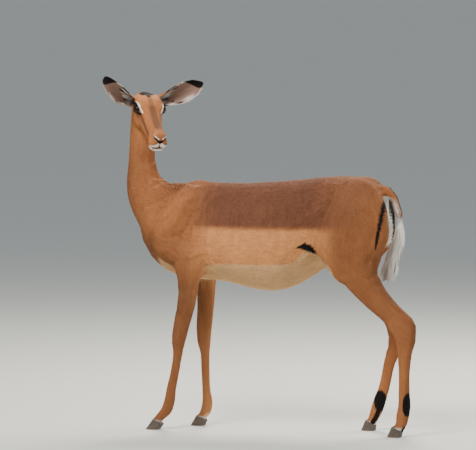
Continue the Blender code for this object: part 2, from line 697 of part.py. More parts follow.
def main():
    for obj in list(bpy.data.objects):
        bpy.data.objects.remove(obj)
    body = blended_body()
    body.name = "trunk"
    legs(body)
    neck = sliced(body, "neck", *NECK_CUT)
    head = sliced(neck, "head", *HEAD_CUT)
    for hand, side in ((LEFT, "left"), (RIGHT, "right")):
        socket = cutter(ball("socket", EYE_RADIUS + GAP, hand))
        cut(head, socket, "DIFFERENCE")
        bpy.data.objects.remove(socket)
        ball("eye_" + side, EYE_RADIUS, hand)
    grown = swollen(head, GAP)
    for hand, side in ((LEFT, "left"), (RIGHT, "right")):
        cut(ear("ear_" + side, hand), grown, "DIFFERENCE")
    bpy.data.objects.remove(grown)
    tail = limb_loft("tail", TAIL, RIGHT, steps=TAIL_STEPS, sides=TAIL_SIDES)
    brush = limb_loft("tail_brush", TAIL_BRUSH, RIGHT, steps=TAIL_STEPS, sides=TAIL_SIDES)
    for obj, against in ((tail, body), (brush, body), (brush, tail)):
        grown = swollen(against, GAP)
        cut(obj, grown, "DIFFERENCE")
        bpy.data.objects.remove(grown)
    nodes = [obj for obj in bpy.data.objects if obj.type == "MESH"]
    corners = np.array([vertex.co for obj in nodes for vertex in obj.data.vertices])
    middle = (corners.min(axis=0) + corners.max(axis=0)) / 2
    for obj in nodes:
        obj.data.transform(Matrix.Translation((-middle[0], -middle[1], 0.0)))
        tidy(obj)
        painted(obj, colour_of(obj.name))


if __name__ == "__main__":
    main()
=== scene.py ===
"""A life-size female impala: its skin, coat, eyes and hooves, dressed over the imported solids.

Every shape is first made in the animal's own plan, which has x = 0 at mid-body and the floor at z = 0, and
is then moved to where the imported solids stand.
"""

import json
import logging
import math
from dataclasses import dataclass
from enum import Enum

import bmesh
import bpy
import numpy as np
from bpy.types import Material, Node, NodeSocket, NodeTree, Object
from mathutils import Matrix, Vector
from mathutils.kdtree import KDTree

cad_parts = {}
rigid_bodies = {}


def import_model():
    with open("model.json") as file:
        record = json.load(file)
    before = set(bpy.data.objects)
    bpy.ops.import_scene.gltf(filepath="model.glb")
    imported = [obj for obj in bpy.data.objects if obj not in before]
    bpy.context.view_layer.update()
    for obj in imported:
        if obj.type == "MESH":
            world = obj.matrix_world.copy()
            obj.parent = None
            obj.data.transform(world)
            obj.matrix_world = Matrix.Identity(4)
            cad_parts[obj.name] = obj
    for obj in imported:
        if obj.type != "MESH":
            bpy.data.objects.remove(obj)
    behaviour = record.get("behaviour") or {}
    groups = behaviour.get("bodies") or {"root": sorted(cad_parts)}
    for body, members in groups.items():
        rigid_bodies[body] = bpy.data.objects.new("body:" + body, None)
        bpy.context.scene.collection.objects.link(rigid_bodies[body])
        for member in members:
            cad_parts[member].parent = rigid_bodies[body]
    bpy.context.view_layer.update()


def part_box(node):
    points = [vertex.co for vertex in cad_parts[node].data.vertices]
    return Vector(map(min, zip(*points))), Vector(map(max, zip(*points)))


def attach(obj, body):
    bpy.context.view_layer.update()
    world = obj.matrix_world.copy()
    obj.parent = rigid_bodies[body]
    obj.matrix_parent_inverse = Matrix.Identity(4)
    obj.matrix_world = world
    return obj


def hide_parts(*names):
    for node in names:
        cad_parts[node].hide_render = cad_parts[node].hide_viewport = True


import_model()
BODY = "root"
COAT_MAP = "OFBake"
MM = 1000.0  # millimetres in a metre
log = logging.getLogger("impala")

Stations = tuple[tuple[float, ...], ...]

# Trunk, in millimetres: (x, height of the back, height of the underside, half-width), and how far down the
# widest point lies as a share of the depth, fullness of the upper half, fullness of the lower half.
TRUNK: Stations = (
    (-402, 720, 625, 30, 0.5, 2, 2), (-388, 755, 588, 54, 0.5, 2, 2),
    (-350, 790, 534, 74, 0.55, 1.9, 1.9), (-300, 797, 502, 84, 0.56, 1.7, 1.9),
    (-250, 800, 488, 90, 0.58, 1.6, 1.9), (-210, 812, 484, 96, 0.6, 1.5, 2),
    (-165, 804, 484, 104, 0.61, 1.6, 2.1), (-100, 801, 477, 117, 0.62, 1.75, 2.2),
    (-30, 803, 459, 128, 0.62, 1.85, 2.2), (40, 808, 452, 133, 0.61, 1.9, 2.2),
    (100, 813, 464, 128, 0.58, 1.9, 2.1), (155, 819, 492, 113, 0.53, 1.9, 2),
    (210, 825, 530, 98, 0.45, 2, 2), (270, 829, 556, 90, 0.42, 2, 2), (320, 827, 575, 82, 0.42, 2, 2),
    (362, 815, 595, 72, 0.45, 2, 2), (396, 798, 622, 54, 0.48, 2, 2), (412, 772, 655, 30, 0.5, 2, 2),
)
# Limbs, neck and tail, in millimetres: (x, y, z, half-width across, half-depth to the front, to the back),
# with y of a limb given as a distance from the middle plane.
NECK: Stations = (
    (-265, 0, 665, 60, 105, 85), (-335, 0, 725, 60, 104, 80), (-381, 0, 786, 49, 78, 53),
    (-398, 1, 845, 41, 53, 46), (-400, 4, 900, 38, 42.5, 41.5), (-399, 10, 955, 37, 43, 40),
    (-397, 18, 1005, 38, 46.5, 38), (-394, 22, 1045, 34, 50, 30),
)
SHOULDER: Stations = (
    (-214, 26, 788, 16, 30, 32), (-230, 50, 745, 24, 48, 46), (-262, 65, 695, 30, 54, 54),
    (-298, 70, 645, 31, 50, 54), (-322, 70, 605, 28, 34, 44), (-330, 68, 585, 18, 16, 24),
)
UPPER_ARM: Stations = (
    (-345, 64, 620, 24, 26, 26), (-310, 70, 600, 35, 44, 48), (-255, 77, 572, 38, 48, 56),
    (-200, 79, 548, 34, 40, 42), (-165, 78, 535, 22, 20, 22),
)
LEFT_FORELEG: Stations = (
    (-228, 82, 580, 38, 50, 56), (-225, 82, 530, 38, 45, 52), (-223.5, 81, 486, 33, 38.5, 38.5),
    (-229, 79, 437, 28, 33.5, 34.5), (-242, 76, 370, 22.5, 29.5, 30), (-254.5, 74, 318, 22.5, 27, 27),
    (-259, 73, 288, 22, 24.5, 23), (-261.5, 72, 258, 16.5, 18.5, 18.5), (-272.5, 71, 188, 13.5, 16, 16.5),
    (-285, 70, 132, 14.2, 17.2, 18.2), (-292, 69, 90, 16.8, 19, 20), (-302, 69, 64, 17.2, 18.2, 20.5),
    (-322, 69, 41, 16, 15.2, 16), (-338, 69, 22, 17.2, 15, 15.4), (-347, 69, 11, 17.2, 14.8, 15.2),
)
RIGHT_FORELEG: Stations = (
    (-222, 80, 580, 38, 50, 56), (-212, 80, 530, 38, 45, 50), (-206, 78, 482, 33, 38.5, 37),
    (-205, 75, 437, 28, 34, 33), (-207, 71, 370, 22.5, 29.5, 28.5), (-210.5, 69, 318, 22.5, 27.5, 27),
    (-210, 67, 280, 22, 25.5, 24), (-207, 66, 244, 16.5, 18.5, 18), (-205, 64, 180, 13.5, 15.8, 16),
    (-201.5, 62, 114, 13.8, 15.5, 16), (-198.5, 61, 74, 16.8, 18.5, 19.5), (-203.5, 61, 50, 17.2, 18, 20),
    (-216, 61, 31, 16, 15, 15.8), (-229, 61, 16, 17.2, 14.8, 15.2), (-234, 61, 9, 17.2, 14.6, 15),
)
LEFT_THIGH: Stations = (
    (258, 44, 780, 26, 50, 74), (290, 62, 740, 42, 88, 118), (305, 66, 680, 52, 112, 128),
    (306, 70, 620, 55, 122, 126), (312, 72, 560, 50, 88, 96), (332, 72, 510, 43, 66, 74),
)
RIGHT_THIGH: Stations = (
    (253, 44, 780, 26, 50, 74), (283, 62, 740, 42, 92, 122), (293, 66, 680, 52, 118, 134),
    (290, 70, 620, 55, 124, 130), (290, 71, 560, 50, 92, 100), (302, 71, 510, 43, 66, 74),
)
LEFT_HINDLEG: Stations = (
    (322, 72, 545, 46, 72, 80), (345, 73, 500, 41, 56, 60), (375, 75, 460, 34, 47, 50),
    (415, 78, 420, 26, 41, 42), (452, 80, 385, 21, 36, 40), (477, 80, 350, 22, 37, 48),
    (490, 80, 315, 21.5, 33.5, 37), (492.5, 79, 280, 18, 27, 28.5), (491.5, 78, 230, 15, 21.5, 21.5),
    (491, 77, 144, 14.5, 20.5, 20), (490, 76, 92, 17.2, 21.5, 22), (483, 76, 64, 17.8, 21, 22.5),
    (472.5, 76, 38, 16.5, 17.5, 18.2), (459, 76, 18, 17.6, 17.2, 17.2), (453.5, 76, 10, 17.6, 17, 17),
)
RIGHT_HINDLEG: Stations = (
    (292, 71, 545, 46, 72, 80), (310, 71, 500, 41, 56, 60), (336, 72, 460, 34, 47, 50),
    (372, 73, 420, 26, 41, 42), (405, 74, 385, 21, 36, 40), (426, 74, 350, 22, 37, 48),
    (432, 73, 315, 21.5, 33.5, 37), (425, 72, 280, 18, 27, 28.5), (407, 71, 225, 15, 21.2, 21.2),
    (386, 70, 132, 14.5, 20, 20), (372.5, 70, 94, 17.2, 21.5, 21.5), (363, 70, 66, 17.8, 20.5, 22),
    (352, 70, 38, 16.5, 17.5, 18.2), (341.5, 70, 18, 17.6, 17.2, 17.2), (337.5, 70, 10, 17.6, 17, 17),
)
TAIL: Stations = (
    (388, 0, 790, 12, 12, 12), (410, 0, 786, 17, 14, 14), (430, 0, 766, 20, 14, 14),
    (443, 0, 734, 22, 13, 14), (450, 0, 706, 22, 12, 14), (453, 0, 690, 16, 9, 10),
)
TAIL_BRUSH: Stations = (
    (452, 0, 690, 18, 10, 12), (452, 0, 670, 24, 14, 17), (447, 0, 640, 26, 17, 19),
    (438, 0, 605, 25, 19, 21), (429, 0, 570, 22, 17, 19), (420, 0, 535, 17, 12, 14),
    (413, 0, 503, 10, 7, 8), (409, 0, 488, 4, 3, 3),
)
# The head in its own frame: +x from the crown to the nose, +y to the animal's left, +z out of the forehead.
# Its rows are those of the trunk, in millimetres.
HEAD: Stations = (
    (-46, -34, -66, 14, 0.5, 2, 2), (-36, -18, -84, 27, 0.45, 2, 2), (-18, -5, -98, 36.5, 0.38, 2.1, 2),
    (4, 1, -104, 40, 0.34, 2.2, 1.9), (26, 3, -106, 41.5, 0.32, 2.3, 1.8),
    (44, 1, -108, 42, 0.28, 2.4, 1.7), (60, -3, -109, 40.5, 0.27, 2.4, 1.7),
    (78, -9, -108, 37, 0.3, 2.4, 1.7), (98, -15, -105, 32.5, 0.36, 2.3, 1.8),
    (120, -20.5, -102, 28.5, 0.42, 2.2, 1.9), (145, -25, -100, 25.8, 0.46, 2.2, 2),
    (168, -28, -98, 25, 0.48, 2.3, 2.1), (186, -31, -92, 24, 0.48, 2.4, 2.2),
    (197, -36, -84, 20.5, 0.48, 2.3, 2.2), (204, -46, -72, 12, 0.48, 2, 2),
)
# Rounded swellings of the head, in millimetres and mirrored: (x, y, z, and the three radii along those).
SWELLINGS: Stations = (
    (53, 33.5, -26, 27, 15.5, 19.5),  # rim of the eye
    (40, 24, -66, 45, 16.5, 34),  # cheek
    (186, 11.5, -43, 15, 12, 13.5),  # nostril
    (179, 16, -67, 24, 13.5, 17.5),  # upper lip
    (174, 6, -89, 21, 14.5, 13.5),  # chin
)
# An ear is a leaf bent round its spine: (share of the length, radius of the bend, half its angle in degrees).
EAR_BEND: Stations = (
    (0.0, 0.015, 160.0),
    (0.16, 0.018, 140.0),
    (0.32, 0.0235, 108.0),
    (0.48, 0.03, 86.0),
    (0.63, 0.036, 66.0),
    (0.77, 0.038, 50.0),
    (0.89, 0.038, 37.0),
    (0.96, 0.037, 28.0),
    (1.0, 0.035, 17.0),
)

HEAD_LOW = 0.86  # nothing of the head is lower
EYE_REGION = 0.03  # how far round the middle of an eyeball its lids reach
BRUSH_CORE_SHARE = 0.62  # thickness of the tail's own flesh inside its brush


class Side(Enum):
    """A side of the animal, by the sign of y there."""

    LEFT = -1.0
    RIGHT = 1.0


def spline(stations: Stations | np.ndarray, steps: int) -> np.ndarray:
    """Draws a smooth curve through rows of numbers.

    Args:
        stations: The rows; the first three numbers of each give its place.
        steps: Rows made from each station to the next.

    Returns:
        The rows along the curve.
    """
    table = np.array(stations, float)
    spans = np.linalg.norm(np.diff(table[:, :3], axis=0), axis=1)
    at = np.concatenate([[0.0], np.cumsum(spans)])
    slope = np.gradient(table, at, axis=0)
    made = [table[0]]
    for i, span in enumerate(spans):
        for step in range(1, steps + 1):
            t = step / steps
            made.append(
                (2 * t**3 - 3 * t**2 + 1) * table[i]
                + (t**3 - 2 * t**2 + t) * span * slope[i]
                + (3 * t**2 - 2 * t**3) * table[i + 1]
                + (t**3 - t**2) * span * slope[i + 1]
            )
    return np.array(made)


def ramp(value: np.ndarray, low: float, high: float) -> np.ndarray:
    """Rises smoothly from 0 at low to 1 at high."""
    t = np.clip((value - low) / (high - low), 0.0, 1.0)
    return t * t * (3 - 2 * t)


def fall(value: np.ndarray, low: float, high: float) -> np.ndarray:
    """Falls smoothly from 1 at low to 0 at high."""
    return 1 - ramp(value, low, high)


def above_neck(points: np.ndarray) -> np.ndarray:
    """Rises from 0 on the neck to 1 at the head, for points in the plan."""
    return ramp(points[:, 2], HEAD_LOW, HEAD_LOW + 0.04)


def unit(rows: np.ndarray) -> np.ndarray:
    """Scales each row of a table of vectors to length 1."""
    return rows / np.maximum(np.linalg.norm(rows, axis=-1, keepdims=True), 1e-9)


def near_line(points: np.ndarray, line: np.ndarray) -> tuple[np.ndarray, np.ndarray]:
    """Measures points against a line of straight runs.

    Args:
        points: A table of points, with as many numbers each as the line's.
        line: The line's corners.

    Returns:
        Each point's distance from the line, and how far along it the nearest place lies, from 0 to 1.
    """
    line = np.asarray(line, float)
    best = np.full(len(points), np.inf)
    share = np.zeros(len(points))
    runs = np.linalg.norm(np.diff(line, axis=0), axis=1)
    start = np.concatenate([[0.0], np.cumsum(runs)])
    for i, run in enumerate(runs):
        way = line[i + 1] - line[i]
        t = np.clip((points - line[i]) @ way / (run * run), 0.0, 1.0)
        gap = np.linalg.norm(points - (line[i] + t[:, None] * way), axis=1)
        nearer = gap < best
        best[nearer] = gap[nearer]
        share[nearer] = ((start[i] + t * run) / start[-1])[nearer]
    return best, share


@dataclass(frozen=True)
class Form:
    """One loft of the body: its rings of points, its line, its mean radii, and the way its hair lies."""

    name: str
    rings: np.ndarray
    line: np.ndarray
    reach: np.ndarray
    lie: np.ndarray

    def mesh(self, start: int) -> tuple[np.ndarray, list[tuple[int, ...]]]:
        """Gives the loft's points, and its faces with their corners counted from start."""
        count, sides = self.rings.shape[:2]
        faces = []
        for row in range(count - 1):
            for i in range(sides):
                j = (i + 1) % sides
                low, high = start + row * sides, start + (row + 1) * sides
                faces.append((low + i, low + j, high + j, high + i))
        faces.append(tuple(start + i for i in reversed(range(sides))))
        faces.append(tuple(start + (count - 1) * sides + i for i in range(sides)))
        return self.rings.reshape(-1, 3), faces


def superellipse(sides: int, fuller_up: float, fuller_down: float) -> np.ndarray:
    """Gives a closed curve's (across, high) points, with its own fullness above and below."""
    angle = np.arange(sides) * 2 * math.pi / sides
    cosine, sine = np.cos(angle), np.sin(angle)
    power = 2.0 / np.where(sine >= 0, fuller_up, fuller_down)
    return np.stack([np.sign(cosine) * abs(cosine) ** power, np.sign(sine) * abs(sine) ** power], 1)


def loft_along_x(name: str, stations: Stations, steps: int, sides: int, place: Matrix, lie: float) -> Form:
    """Makes the form of a table that gives heights of its top and underside.

    Args:
        name: The form's name.
        stations: Rows as in TRUNK.
        steps: Rings from each station to the next.
        sides: Points round a ring.
        place: Takes the form from its own frame to the plan.
        lie: 1 if the hair lies towards +x, or -1.

    Returns:
        The form.
    """
    turn = np.array(place.to_3x3())
    shift = np.array(place.translation)
    rings, line, reach = [], [], []
    table = np.array(stations) / (MM, MM, MM, MM, 1, 1, 1)
    for x, top, under, width, share, fuller_up, fuller_down in spline(table, steps):
        middle = top - share * (top - under)
        curve = superellipse(sides, fuller_up, fuller_down)
        high = np.where(curve[:, 1] >= 0, top - middle, middle - under) * curve[:, 1]
        rings.append(np.stack([np.full(sides, x), width * curve[:, 0], middle + high], 1))
        line.append((x, 0.0, (top + under) / 2))
        reach.append((width + (top - under) / 2) / 2)
    line = np.array(line) @ turn.T + shift
    return Form(
        name,
        np.array(rings) @ turn.T + shift,
        line,
        np.array(reach),
        unit(lie * np.gradient(line, axis=0)),
    )


def limb_form(name: str, stations: Stations, steps: int, sides: int, side: Side, lie: float = 1.0) -> Form:
    """Makes the form of a limb, the neck or the tail.

    Args:
        name: The form's name.
        stations: Rows as in NECK.
        steps: Rings from each station to the next.
        sides: Points round a ring.
        side: The side of the animal that it is on.
        lie: 1 if the hair lies along the stations, or -1 against them.

    Returns:
        The form.
    """
    rows = spline(np.array(stations) / MM, steps)
    centres = rows[:, :3] * (1, side.value, 1)
    ways = unit(np.gradient(centres, axis=0))
    curve = superellipse(sides, 2.0, 2.0)
    rings = []
    for centre, way, (width, front, back) in zip(centres, ways, rows[:, 3:]):
        across = unit(np.array((0.0, 1.0, 0.0)) - way * way[1])
        forward = np.cross(across, way)
        if forward[0] > 0:
            forward = -forward
        deep = np.where(curve[:, 1] >= 0, front, back) * curve[:, 1]
        rings.append(centre + np.outer(width * curve[:, 0], across) + np.outer(deep, forward))
    reach = (rows[:, 3] + (rows[:, 4] + rows[:, 5]) / 2) / 2
    return Form(name, np.array(rings), centres, reach, lie * ways)


def object_of(name: str, points: np.ndarray, faces: list[tuple[int, ...]]) -> Object:
    """Makes an object from points and faces, and turns its faces outwards."""
    mesh = bpy.data.meshes.new(name)
    mesh.from_pydata([tuple(point) for point in points], [], faces)
    made = bpy.data.objects.new(name, mesh)
    bpy.context.scene.collection.objects.link(made)
    outward(made)
    return made


def outward(obj: Object) -> None:
    """Turns every face of the object's closed bodies outwards."""
    bm = bmesh.new()
    bm.from_mesh(obj.data)
    bmesh.ops.recalc_face_normals(bm, faces=bm.faces)
    bm.to_mesh(obj.data)
    bm.free()


def settled(obj: Object) -> Object:
    """Gives the object its modifiers' result as its own mesh."""
    graph = bpy.context.evaluated_depsgraph_get()
    mesh = bpy.data.meshes.new_from_object(obj.evaluated_get(graph))
    obj.modifiers.clear()
    obj.data = mesh
    return obj


def read(rows: bpy.types.bpy_prop_collection, field: str, width: int, kind: type = np.float32) -> np.ndarray:
    """Reads one field of many rows, as a table of so many numbers each."""
    flat = np.empty(len(rows) * width, kind)
    rows.foreach_get(field, flat)
    return flat.reshape(-1, width)


def points_of(obj: Object) -> np.ndarray:
    """Reads the object's vertices."""
    return read(obj.data.vertices, "co", 3).astype(float)


def normals_of(obj: Object) -> np.ndarray:
    """Reads the object's vertex normals."""
    return read(obj.data.vertex_normals, "vector", 3).astype(float)


def move_points(obj: Object, points: np.ndarray) -> None:
    """Writes the object's vertices."""
    obj.data.vertices.foreach_set("co", points.astype(np.float32).ravel())
    obj.data.update()


def edges_of(obj: Object) -> np.ndarray:
    """Reads the pairs of vertices that the object's edges join."""
    return read(obj.data.edges, "vertices", 2, np.int32)


def averaged(values: np.ndarray, edges: np.ndarray) -> np.ndarray:
    """Gives each vertex the mean of its neighbours' rows."""
    count = len(values)
    ends = np.concatenate([edges[:, 0], edges[:, 1]])
    others = np.concatenate([edges[:, 1], edges[:, 0]])
    share = np.maximum(np.bincount(ends, minlength=count), 1)
    sums = [np.bincount(ends, weights=column, minlength=count) for column in values[others].T]
    return np.stack([total / share for total in sums], 1)


def relaxed(values: np.ndarray, edges: np.ndarray, weights: np.ndarray, steps: int) -> np.ndarray:
    """Smooths rows over a mesh.

    Args:
        values: A row for each vertex.
        edges: Pairs of vertices.
        weights: How far each vertex follows its neighbours, from 0 to 1.
        steps: How many times.

    Returns:
        The smoothed rows.
    """
    for _ in range(steps):
        values = values + weights[:, None] * 0.5 * (averaged(values, edges) - values)
    return values


def give(obj: Object, name: str, values: np.ndarray) -> None:
    """Stores numbers, or rows of three, on the object's vertices under a name."""
    vector = values.ndim == 2
    layer = obj.data.attributes.new(name, "FLOAT_VECTOR" if vector else "FLOAT", "POINT")
    layer.data.foreach_set("vector" if vector else "value", values.astype(np.float32).ravel())


@dataclass(frozen=True)
class HeadPlan:
    """The head's place on the neck, its eyes, and where its ears grow."""

    crown: Vector = Vector((-0.379, -0.02, 1.088))
    turn: float = math.radians(123.5)
    nod: float = math.radians(32.0)
    tilt: float = math.radians(-1.5)
    eye: Vector = Vector((0.057, 0.039, -0.0265))
    eye_radius: float = 0.0152
    ear_root: Vector = Vector((-0.006, 0.036, -0.04))
    ear_opens: Vector = Vector((0.86, -0.42, 0.28))
    left_ear_tip: Vector = Vector((0.046, 0.164, 0.07))
    right_ear_tip: Vector = Vector((0.036, -0.171, 0.077))
    left_ear_sway: float = 0.004
    right_ear_sway: float = 0.014
    ear_bow: float = -0.004
    ear_wall: float = 0.0034

    def place(self) -> Matrix:
        """Gives the matrix from the head's own frame to the animal's plan."""
        turn = Matrix.Rotation(math.pi + self.turn, 4, "Z")
        nod = Matrix.Rotation(self.nod, 4, "Y")
        tilt = Matrix.Rotation(self.tilt, 4, "X")
        return Matrix.Translation(self.crown) @ turn @ nod @ tilt

    def own(self, points: np.ndarray) -> np.ndarray:
        """Takes points from the plan to the head's own frame."""
        back = self.place().inverted()
        return points @ np.array(back.to_3x3()).T + np.array(back.translation)

    def out(self, points: np.ndarray) -> np.ndarray:
        """Takes points from the head's own frame to the plan."""
        place = self.place()
        return points @ np.array(place.to_3x3()).T + np.array(place.translation)

    def folded(self, points: np.ndarray) -> np.ndarray:
        """Takes points from the plan to the head's own frame, with its right side laid on its left."""
        own = self.own(points)
        return np.stack([own[:, 0], abs(own[:, 1]), own[:, 2]], 1)

    def eye_own(self, side: Side) -> np.ndarray:
        """Gives the middle of an eyeball in the head's own frame."""
        return np.array(self.eye * Vector((1, -side.value, 1)))

    def eye_centre(self, side: Side) -> Vector:
        """Gives the middle of an eyeball in the plan."""
        return self.place() @ (self.eye * Vector((1, -side.value, 1)))

    def ear_tip(self, side: Side) -> Vector:
        """Gives the tip of an ear in the head's own frame."""
        return self.left_ear_tip if side is Side.LEFT else self.right_ear_tip

    def ear_sway(self, side: Side) -> float:
        """Gives how far an ear's spine hangs below the line from its root to its tip."""
        return self.left_ear_sway if side is Side.LEFT else self.right_ear_sway

    def ear_cut(self, side: Side) -> tuple[float, float]:
        """Gives an ear's width as a share of the plain leaf's, and how much its tip is pointed."""
        return (1.0, 0.55) if side is Side.LEFT else (0.88, 0.1)


PLAN = HeadPlan()


def plan_origin() -> Vector:
    """Finds where the plan's origin stands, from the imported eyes."""
    shift = Vector()
    for side, node in ((Side.LEFT, "eye_left"), (Side.RIGHT, "eye_right")):
        low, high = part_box(node)
        shift += ((low + high) / 2 - PLAN.eye_centre(side)) / 2
    shift.z = 0.0
    return shift


ORIGIN = plan_origin()


def finished(obj: Object, nodes: tuple[str, ...] = ()) -> Object:
    """Moves a piece from the plan to its place, and tells the frame about it.

    Args:
        obj: The piece, made in the plan.
        nodes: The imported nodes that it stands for.

    Returns:
        The piece.
    """
    obj.data.transform(Matrix.Translation(ORIGIN))
    obj.data.shade_smooth()
    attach(obj, BODY)
    if nodes:
        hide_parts(*nodes)
    log.info("%s: %d faces", obj.name, len(obj.data.polygons))
    return obj


@dataclass(frozen=True)
class Stroke:
    """A ridge or groove of the body's sides, in millimetres: its line in (x, z), half-width and height."""

    line: tuple[tuple[float, float], ...]
    reach: float
    height: float


BODY_STROKES = (
    Stroke(((-215, 780), (-270, 690), (-312, 625)), 16, 2.2),  # ridge of the shoulder blade
    Stroke(((-262, 775), (-318, 690), (-345, 640)), 14, -2.6),  # in front of the shoulder
    Stroke(((-168, 770), (-170, 680), (-158, 575)), 18, -3),  # behind the shoulder
    Stroke(((-232, 655), (-250, 600), (-245, 560)), 13, -1.6),  # between the heads of the arm
    Stroke(((-300, 625), (-285, 560), (-262, 520)), 12, -1.8),  # front of the arm
    Stroke(((-190, 560), (-178, 535)), 14, 2.8),  # point of the elbow
    Stroke(((-400, 940), (-388, 850), (-362, 760)), 11, -2.2),  # groove of the neck
    Stroke(((-375, 800), (-330, 730)), 16, 1.6),
    Stroke(((170, 745), (185, 715)), 36, -5),  # hollow of the flank
    Stroke(((215, 798), (245, 790)), 20, 3.4),  # point of the hip
    Stroke(((130, 530), (170, 585), (195, 650)), 11, 2.2),  # fold of the flank
    Stroke(((150, 522), (192, 575), (214, 640)), 10, -2.6),
    Stroke(((262, 770), (232, 690), (222, 630)), 16, -2),  # front of the thigh
    Stroke(((330, 790), (345, 700), (335, 610), (325, 540)), 13, -1.8),
    Stroke(((375, 760), (392, 680), (378, 600), (372, 530)), 11, -2.2),
    Stroke(((240, 600), (262, 560), (290, 540)), 14, 2.2),  # stifle
)
# Ribs, in millimetres.
RIB_FIRST, RIB_STEP, RIB_COUNT = -135, 31, 8
RIB_LEAN = 55  # how far back a rib's foot lies behind its head
RIB_TOP, RIB_FOOT = 735, 560
RIB_REACH, RIB_HEIGHT = 8.5, 0.9

# Grooves and ridges of the face, in millimetres of the head's own frame and mirrored: (points, half-width,
# height).
FACE_STROKES = (
    (((188, 22, -40), (192.5, 19.5, -43), (198, 14, -46.2)), 3, -7.5),
    (((198, 14, -46.2), (201, 8, -50), (203.5, 2, -55)), 2.4, -2.6),
    (((185, 20.5, -34.5), (192.5, 17, -37.5), (199.5, 9, -42)), 2.8, 1.8),
    (((186, 25.5, -46), (195, 20.5, -50), (201, 13, -54.5)), 3.2, 1.8),
    (((204.5, 0, -56), (204.5, 0, -68), (201, 0, -79)), 1.3, -2.2),
    (((201.5, 0, -80.5), (196, 12.5, -82), (184, 21.5, -83), (166, 25.5, -82),
      (148, 26.2, -78)), 1.6, -3.4),
    (((201, 8, -69), (190, 21, -74), (170, 26.5, -74.5)), 5, 1.8),
    (((198, 0, -87), (190, 13, -89), (170, 19, -90)), 6, 5),
    (((79, 37, -29), (87, 33.5, -34.5), (96, 31.5, -44)), 2.2, -1.4),
    (((38, 39.5, -6), (56, 36, -5), (74, 31, -11)), 4.5, 1.8),
    (((-5, 34, -10), (18, 39, -12), (36, 38, -6)), 13, 8), (((199, 15, -60), (190, 21.5, -66)), 10, 2.8),
    (((22, 43, -30), (33, 44, -40)), 10, 4), (((95, 29, -56), (125, 27, -56), (150, 26, -56)), 6, -1),
    (((30, 39, -50), (60, 40, -52), (88, 34, -50)), 5, 1.2),
    (((15, 37, -90), (50, 33, -98), (90, 27, -98)), 5, 1), (((30, 0, 3), (90, 0, -11)), 10, -0.8),
    (((110, 20, -25), (150, 17, -31), (175, 15, -33)), 5, 1),
)


@dataclass(frozen=True)
class Lids:
    """An eye's opening, in degrees seen from the middle of the eyeball, and the lids round it."""

    outward: Vector = Vector((0.2, 0.93, 0.3))
    nose: Vector = Vector((1.0, 0.0, -0.22))
    outer_corner: float = -74.0
    inner_corner: float = 72.0
    upper: float = 37.0
    lower: float = -31.0
    thickness: float = 0.0013
    hidden: float = 0.8  # depth of the socket's floor as a share of the eyeball's radius
    edge: float = 3.0
    spread: float = 34.0
    fold_at: float = -13.0
    fold_width: float = 3.5
    fold_depth: float = 0.0009

    def axes(self, side: Side) -> tuple[np.ndarray, np.ndarray, np.ndarray]:
        """Gives the ways outwards, to the nose and up, in the head's own frame."""
        mirror = np.array((1.0, -side.value, 1.0))
        out = unit(np.array(self.outward) * mirror)
        nose = np.array(self.nose) * mirror
        nose = unit(nose - out * (nose @ out))
        up = np.cross(out, nose)
        return out, nose, up if up[2] > 0 else -up

    def inside(self, local: np.ndarray, side: Side) -> np.ndarray:
        """Gives how far points lie inside the opening, in degrees.

        Args:
            local: Points from the middle of the eyeball, in the head's own frame.
            side: The eye's side.

        Returns:
            Degrees inside the nearer lid's edge, negative outside it.
        """
        out, nose, up = self.axes(side)
        deep = np.maximum(local @ out, 1e-6)
        across = np.degrees(np.arctan2(local @ nose, deep))
        high = np.degrees(np.arctan2(local @ up, np.hypot(deep, local @ nose)))
        share = (across - self.outer_corner) / (self.inner_corner - self.outer_corner)
        bow = np.clip(4 * share * (1 - share), 0.0, 1.0) ** 0.62
        beyond = np.maximum(np.maximum(-share, share - 1), 0.0) * (self.inner_corner - self.outer_corner)
        within = np.minimum(self.upper * bow - high, high - self.lower * bow)
        return np.where(local @ out > 0, within, -90.0) - beyond


LIDS = Lids()


